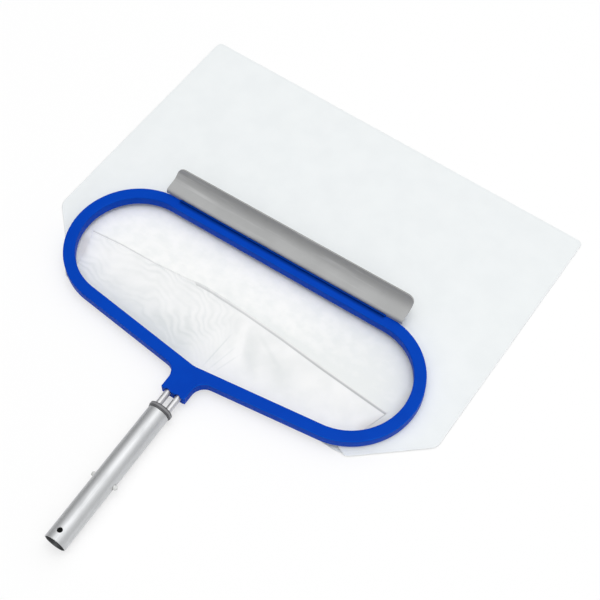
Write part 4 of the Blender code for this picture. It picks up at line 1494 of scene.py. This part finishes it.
@dataclass
class MeshBag:
    """The bag as it lies flat: a floor sheet, a top panel and a doubled front panel.

    Its corners, the seam's stops, the folds and the wavelengths are in mm.
    """

    plan: RingPlan
    corners: tuple[Spot, ...] = (
        (212.0, -89.0), (297.0, -18.5), (306.0, 336.0), (-282.5, 353.5), (-295.0, 11.0),
        (-254.0, -31.5), (-219.0, -76.0))
    seam: tuple[Spot, ...] = (
        (-233.0, 0.0), (-187.0, 3.9), (-136.0, 4.5), (-86.0, 8.4), (-77.0, 9.8), (-70.0, 11.1),
        (-50.0, 11.4), (5.0, 8.8), (61.0, 4.1), (129.0, -3.3), (184.0, -8.3), (224.0, -11.9))
    folds: tuple[Crease, ...] = (Crease((3.0, -5.0), (68.0, -64.0), 5.0, 0.9),
                                 Crease((6.0, -93.0), (22.0, -14.0), 2.0, 0.6))
    cloth: float = 0.45 * MM
    meeting: float = 0.001 * MM
    turn_in: float = 1.0 * MM
    roll: float = 0.5 * MM
    floor_level: float = -13.85 * MM
    edge_level: float = -12.9 * MM
    hem_level: float = -8.0 * MM
    hem_inset: float = 1.0 * MM
    outline_points: int = 1400
    rounding: int = 5
    columns: int = 520
    rows: int = 40
    crowding: float = 1.6
    front_hem: Spot = (-214.0 * MM, 204.0 * MM)
    front_drop: float = 22.0 * MM
    front_lift: float = 0.15 * MM
    front_columns: int = 300
    front_rows: int = 70
    seam_height: float = 0.5 * MM
    seam_width: float = 1.2 * MM
    seed: int = 11
    wavelengths: tuple[float, ...] = (34.0, 46.0, 61.0, 83.0, 117.0, 160.0)
    floor_wave: float = 0.12 * MM
    top_wave: float = 0.5 * MM
    top_fade: float = 0.7
    front_wave: float = 0.25 * MM
    front_crowding: float = 1.3
    cord_radius: float = 1.2 * MM
    cord_lateral: float = 3.05 * MM
    cord_level: float = -5.9 * MM
    cord_start: float = 25.6 * MM
    cord_sides: int = 14
    cord_sharp: float = 60.0
    ripples: list[tuple[float, float, float, float]] = field(default_factory=list)

    def __post_init__(self) -> None:
        """Draws the ripples: heading, wavelength, phase and height of each slow wave."""
        rng = np.random.default_rng(self.seed)
        for size in self.wavelengths:
            heading, phase = rng.uniform(0.0, TURN, 2)
            self.ripples.append((heading, size * MM, phase, size / self.wavelengths[-1]))

    def ripple(self, x: np.ndarray, y: np.ndarray) -> np.ndarray:
        """Slow waves of the cloth, about -1 to 1: the sum of h sin(turn d / w + phase)."""
        total = np.zeros_like(x)
        for heading, size, phase, height in self.ripples:
            run = x * math.cos(heading) + y * math.sin(heading)
            total += height * np.sin(TURN * run / size + phase)
        return total / sum(wave[3] for wave in self.ripples)

    def outline(self, count: int) -> np.ndarray:
        """The bag's edge, anticlockwise: straight sides, with corners rounded by averaging."""
        corners = np.array(self.corners) * MM
        run = lengths(corners, True)
        at = np.linspace(0.0, run[-1], count, endpoint=False)
        loop = np.concatenate([corners, corners[:1]])
        edge = np.column_stack([np.interp(at, run, loop[:, k]) for k in range(2)])
        shifts = range(-self.rounding, self.rounding + 1)
        return np.mean([np.roll(edge, shift, axis=0) for shift in shifts], axis=0)

    def _reach(self, loop: np.ndarray, angle: np.ndarray) -> np.ndarray:
        """Distance from the datum to a loop round it, in each direction."""
        heading = np.arctan2(loop[:, 1], loop[:, 0])
        order = np.argsort(heading)
        far = np.hypot(loop[:, 0], loop[:, 1])
        return np.interp(angle, heading[order], far[order], period=TURN)

    def _sheet(self, name: str, points: np.ndarray, edge: np.ndarray, along: np.ndarray,
               finish: KnittedMesh, node: str, columns_closed: bool = False
               ) -> tuple[Object, Spot, float]:
        """Makes one cloth from its middle surface, and says what it was cut to.

        Args:
            name: the new object's name.
            points: the middle surface.
            edge: distance of each point from the sewn edge, in metres.
            along: length along that edge.
            finish: its cloth.
            node: the CAD node that it stands for.
            columns_closed: whether the grid goes right round.

        Returns:
            The piece, the length and width it was cut from, and its area.
        """
        uv = points[:, :, :2]
        if columns_closed:
            uv = np.concatenate([uv, uv[:, :1]], axis=1)
        sheet = surface(name, points, False, columns_closed, uv)
        for key, values in (("edge", edge), ("along", along)):
            layer = sheet.data.attributes.new(key, "FLOAT", "POINT")
            layer.data.foreach_set("value", np.broadcast_to(values, points.shape[:2]).ravel())
        area = self._face_up(sheet)
        wall = sheet.modifiers.new("Cloth", "SOLIDIFY")
        wall.thickness = self.cloth
        wall.offset = 0.0
        sheet.data.shade_smooth()
        dress(sheet, finish, "mesh_cloth", "net", node)
        width, length = np.ptp(points[:, :, :2].reshape(-1, 2), axis=0) + 2 * self.turn_in
        LOG.info("%s: cut from %.0f x %.0f mm, %.4f m2", name, width / MM, length / MM, area)
        return sheet, (float(width), float(length)), area

    def _face_up(self, sheet: Object) -> float:
        """Merges a sheet's points that meet, turns its faces up, and returns its area."""
        shape = bmesh.new()
        shape.from_mesh(sheet.data)
        bmesh.ops.remove_doubles(shape, verts=shape.verts, dist=self.meeting)
        if sum(face.normal.z for face in shape.faces) < 0:
            bmesh.ops.reverse_faces(shape, faces=shape.faces)
        area = sum(face.calc_area() for face in shape.faces)
        shape.to_mesh(sheet.data)
        shape.free()
        return area

    def floor_sheet(self) -> Object:
        """The bottom cloth: rings that shrink from the bag's edge to a point in its middle."""
        edge = self.outline(self.columns)
        middle = edge.mean(axis=0)
        share = np.sin(np.linspace(0.0, 1.0, self.rows) * QUARTER)[::-1]
        flat = middle + (edge - middle)[None, :, :] * share[:, None, None]
        wave = self.ripple(flat[:, :, 0], flat[:, :, 1]) * self.floor_wave
        inward = np.linalg.norm(flat - edge[None, :, :], axis=2)
        sheet, size, area = self._sheet("bag_floor", raised(flat, self.floor_level + wave),
                                        inward, lengths(edge)[None, :], FLOOR_CLOTH,
                                        "bag_floor_sheet", True)
        return sheet

    def top_panel(self) -> None:
        """The cloth from the ring's underside out to the bag's edge.

        A point lies a share s of the way from the hem to the edge, in one direction from the
        datum, and falls by the smooth step of s. Its waves fade towards both ends by
        (4 s (1 - s))^fade. The edge rolls down to the floor sheet.
        """
        first, last = self.corners[0], self.corners[-1]
        angle = np.linspace(math.atan2(first[1], first[0]), math.atan2(last[1], last[0]) + TURN,
                            self.columns)
        hem = self.plan.closed(self.plan.inner_half(self.plan.width / 2 + self.hem_inset))
        near = self._reach(hem, angle)
        edge = self._reach(self.outline(self.outline_points), angle)
        share = np.linspace(0.0, 1.0, self.rows)[:, None] ** self.crowding
        reach = near + (edge - 2 * self.roll - near) * share
        level = self.hem_level + (self.edge_level - self.hem_level) * smooth_step(share)
        fade = (4 * share * (1 - share)) ** self.top_fade
        wave = self.ripple(reach * np.cos(angle), reach * np.sin(angle)) * fade
        z = level + wave * self.top_wave
        reach = np.vstack([reach, edge - self.roll, edge])
        z = np.vstack([z, np.full_like(edge, self.edge_level),
                       np.full_like(edge, self.floor_level + self.cloth)])
        points = np.stack([reach * np.cos(angle), reach * np.sin(angle), z], axis=2)
        along = lengths(points[-1, :, :2])[None, :]
        sheet, size, area = self._sheet("bag_top", points, edge - reach, along, TOP_CLOTH,
                                        "bag_upper_panel")

    def _near_hem(self, x: np.ndarray) -> np.ndarray:
        """y of the front panel's hem under the ring: the near rails, then the round ends."""
        radius = self.plan.end_radius - self.hem_inset
        tangent = self.plan.half_straight + radius * math.sin(self.plan.rail_slope)
        past = np.clip(np.abs(x) - self.plan.half_straight, 0.0, radius)
        bowl = -np.sqrt(radius * radius - past * past)
        return np.where(np.abs(x) < tangent, self.plan.rail_y(x, -self.hem_inset), bowl)

    def front_panel(self) -> None:
        """The doubled cloth from the near rails over the floor sheet to its seam.

        A point lies a share s of the way from the hem to the seam. It falls within the first
        stretch, lies level, and ends in a rolled seam. Two soft folds lie in it.
        """
        across = np.sin(np.linspace(-0.5, 0.5, self.front_columns) * math.pi)
        hem_x = np.interp(across, (-1.0, 1.0), self.front_hem)
        hem = np.column_stack([hem_x, self._near_hem(hem_x)])
        stops = np.array(self.seam) * MM
        seam_x = np.interp(across, (-1.0, 1.0), (stops[0, 0], stops[-1, 0]))
        seam = np.column_stack([seam_x, np.interp(seam_x, stops[:, 0], stops[:, 1])])
        share = np.linspace(0.0, 1.0, self.front_rows)[:, None, None]
        flat = hem * (1 - share) + seam * share
        x, y = flat[:, :, 0], flat[:, :, 1]
        fall = smooth_step(np.linalg.norm(flat - hem, axis=2) / self.front_drop)
        left = np.linalg.norm(flat - seam, axis=2)
        drop = self.edge_level + self.front_lift - self.hem_level
        relief = self.ripple(x * self.front_crowding, y * self.front_crowding) * self.front_wave
        relief = relief + sum(fold.ridge(x, y) for fold in self.folds)
        relief = relief + self.seam_height * np.exp(-((left / self.seam_width) ** 2))
        points = raised(flat, self.hem_level + fall * (drop + relief))
        sheet, size, area = self._sheet("bag_front", points, left, lengths(seam)[None, :],
                                        FRONT_CLOTH, "bag_front_panel")

    def hem_cord(self) -> None:
        """The cord in the hem, inside the ring's channel."""
        start = np.array([self.cord_start, self.plan.rail_y(self.cord_start, self.cord_lateral)])
        path = both_sides(np.vstack([start, self.plan.far_half(start, self.cord_lateral)]))
        cord = swept("hem_line", path, self.cord_radius, self.cord_level, self.cord_sides)
        dress(smooth(cord, self.cord_sharp), CORD, "hem_cord", "net", "hem_cord")

    def build(self) -> None:
        """Builds the bag."""
        floor = self.floor_sheet()
        self.top_panel()
        self.front_panel()
        self.hem_cord()


# Carried-over parts and studio


@dataclass
class SmallParts:
    """CAD nodes whose shapes are right, and which only need their finish."""

    retainers: tuple[str, ...] = ("far", "left_end", "right_end", "near_left", "near_right")
    screws: int = 4

    def build(self) -> None:
        """Gives each node its finish."""
        finishes = {f"{name}_retainer": BLUE for name in self.retainers}
        finishes |= {f"hub_screw_{k + 1}": STEEL for k in range(self.screws)}
        finishes |= {"hub_cover": BLUE, "plug_rivet": RIVET_METAL, "clip_spine": CLIP}
        for name, finish in finishes.items():
            cover(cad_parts[name], finish)
            LOG.info("%s: keeps its CAD mesh in %s", name, finish.name)


@dataclass
class Studio:
    """White floor, soft light and the camera."""

    eye: tuple[float, float, float] = (0.53268, -0.66001, 1.46195)
    target: tuple[float, float, float] = (0.05331, 0.06030, 0.01425)
    lens: float = 80.93
    sensor: float = 36.0
    floor_half: float = 4.0
    floor_tone: float = 0.99
    sky_low: float = 0.33
    sky_rise: float = 1.45
    sky_power: float = 3.5
    sky_tilt: float = 0.22
    key_place: tuple[float, float, float] = (0.30, 0.30, 3.2)
    key_size: float = 1.6
    key_power: float = 17.0
    lift: float = 0.58
    clearance: float = 0.15 * MM

    def _mixed(self, n: Nodes, share: Number, first: Value, second: Value) -> Value:
        """A shader from first at share 0 to second at share 1."""
        return n.node("ShaderNodeMixShader", {}, {0: share, 1: first, 2: second})

    def floor(self) -> None:
        """The floor: a matt white sheet just under the net, lifted to white for the camera."""
        reach = np.array([-self.floor_half, self.floor_half])
        flat = np.stack(np.meshgrid(reach, reach, indexing="ij"), axis=2)
        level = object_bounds()[0].z - self.clearance
        floor = surface("studio_floor", (raised(flat, level) - DATUM)[:, ::-1])
        n = Nodes(bpy.data.materials.new("studio_white"))
        seen = n.node("ShaderNodeLightPath", {}, {}, "Is Camera Ray")
        matt = n.node("ShaderNodeBsdfDiffuse", {}, {"Color": opaque((self.floor_tone,) * 3)})
        glow = n.node("ShaderNodeEmission", {}, {"Color": opaque((1.0,) * 3), "Strength": 1.0})
        n.output(self._mixed(n, seen * self.lift, matt, glow))
        floor.data.materials.append(n.owner)
        floor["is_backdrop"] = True

    def world(self) -> None:
        """A soft sky, white to the camera: low + rise z^power + tilt x in the direction x, z."""
        n = Nodes(bpy.data.worlds.new("studio_sky"))
        bpy.context.scene.world = n.owner
        heading = n.node("ShaderNodeTexCoord", {}, {}, "Generated")
        height = n.axis(heading, "Z").maximum(0.0)
        level = height ** self.sky_power * self.sky_rise + self.sky_low
        level = level + n.axis(heading, "X") * self.sky_tilt
        light, seen = [n.node("ShaderNodeBackground", {},
                              {"Color": opaque((1.0,) * 3), "Strength": strength})
                       for strength in (level, 1.0)]
        ray = n.node("ShaderNodeLightPath", {}, {}, "Is Camera Ray")
        n.output(self._mixed(n, ray, light, seen), "ShaderNodeOutputWorld")

    def _aimed(self, name: str, data: bpy.types.ID, place: Sequence[float]) -> Object:
        """A lamp or camera at a place, facing the middle of the net."""
        thing = link(bpy.data.objects.new(name, data))
        thing.location = place
        facing = Vector(self.target) - thing.location
        thing.rotation_euler = facing.to_track_quat("-Z", "Y").to_euler()
        return thing

    def lamp(self) -> None:
        """A square soft lamp."""
        data = bpy.data.lights.new("key_lamp", "AREA")
        data.size = self.key_size
        data.energy = self.key_power
        self._aimed("key_lamp", data, self.key_place)

    def camera(self) -> None:
        """The camera at the photograph's angle."""
        data = bpy.data.cameras.new("camera")
        data.lens = self.lens
        data.sensor_width = self.sensor
        bpy.context.scene.camera = self._aimed("camera", data, self.eye)

    def build(self) -> None:
        """Sets up the studio."""
        self.floor()
        self.world()
        self.lamp()
        self.camera()
        bpy.context.scene.view_settings.view_transform = "Standard"
        LOG.info("studio: floor, sky, lamp and camera")


def main() -> None:
    logging.basicConfig(level=logging.INFO, format="%(name)s: %(message)s")
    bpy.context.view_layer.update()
    plan = RingPlan()
    parts = [RingFrame(plan), BentRod(plan), ScoopBlade(), Spigot(plan), SpringClip(),
             MeshBag(plan), SmallParts(), Studio()]
    for part in parts:
        part.build()


if __name__ == "__main__":
    main()
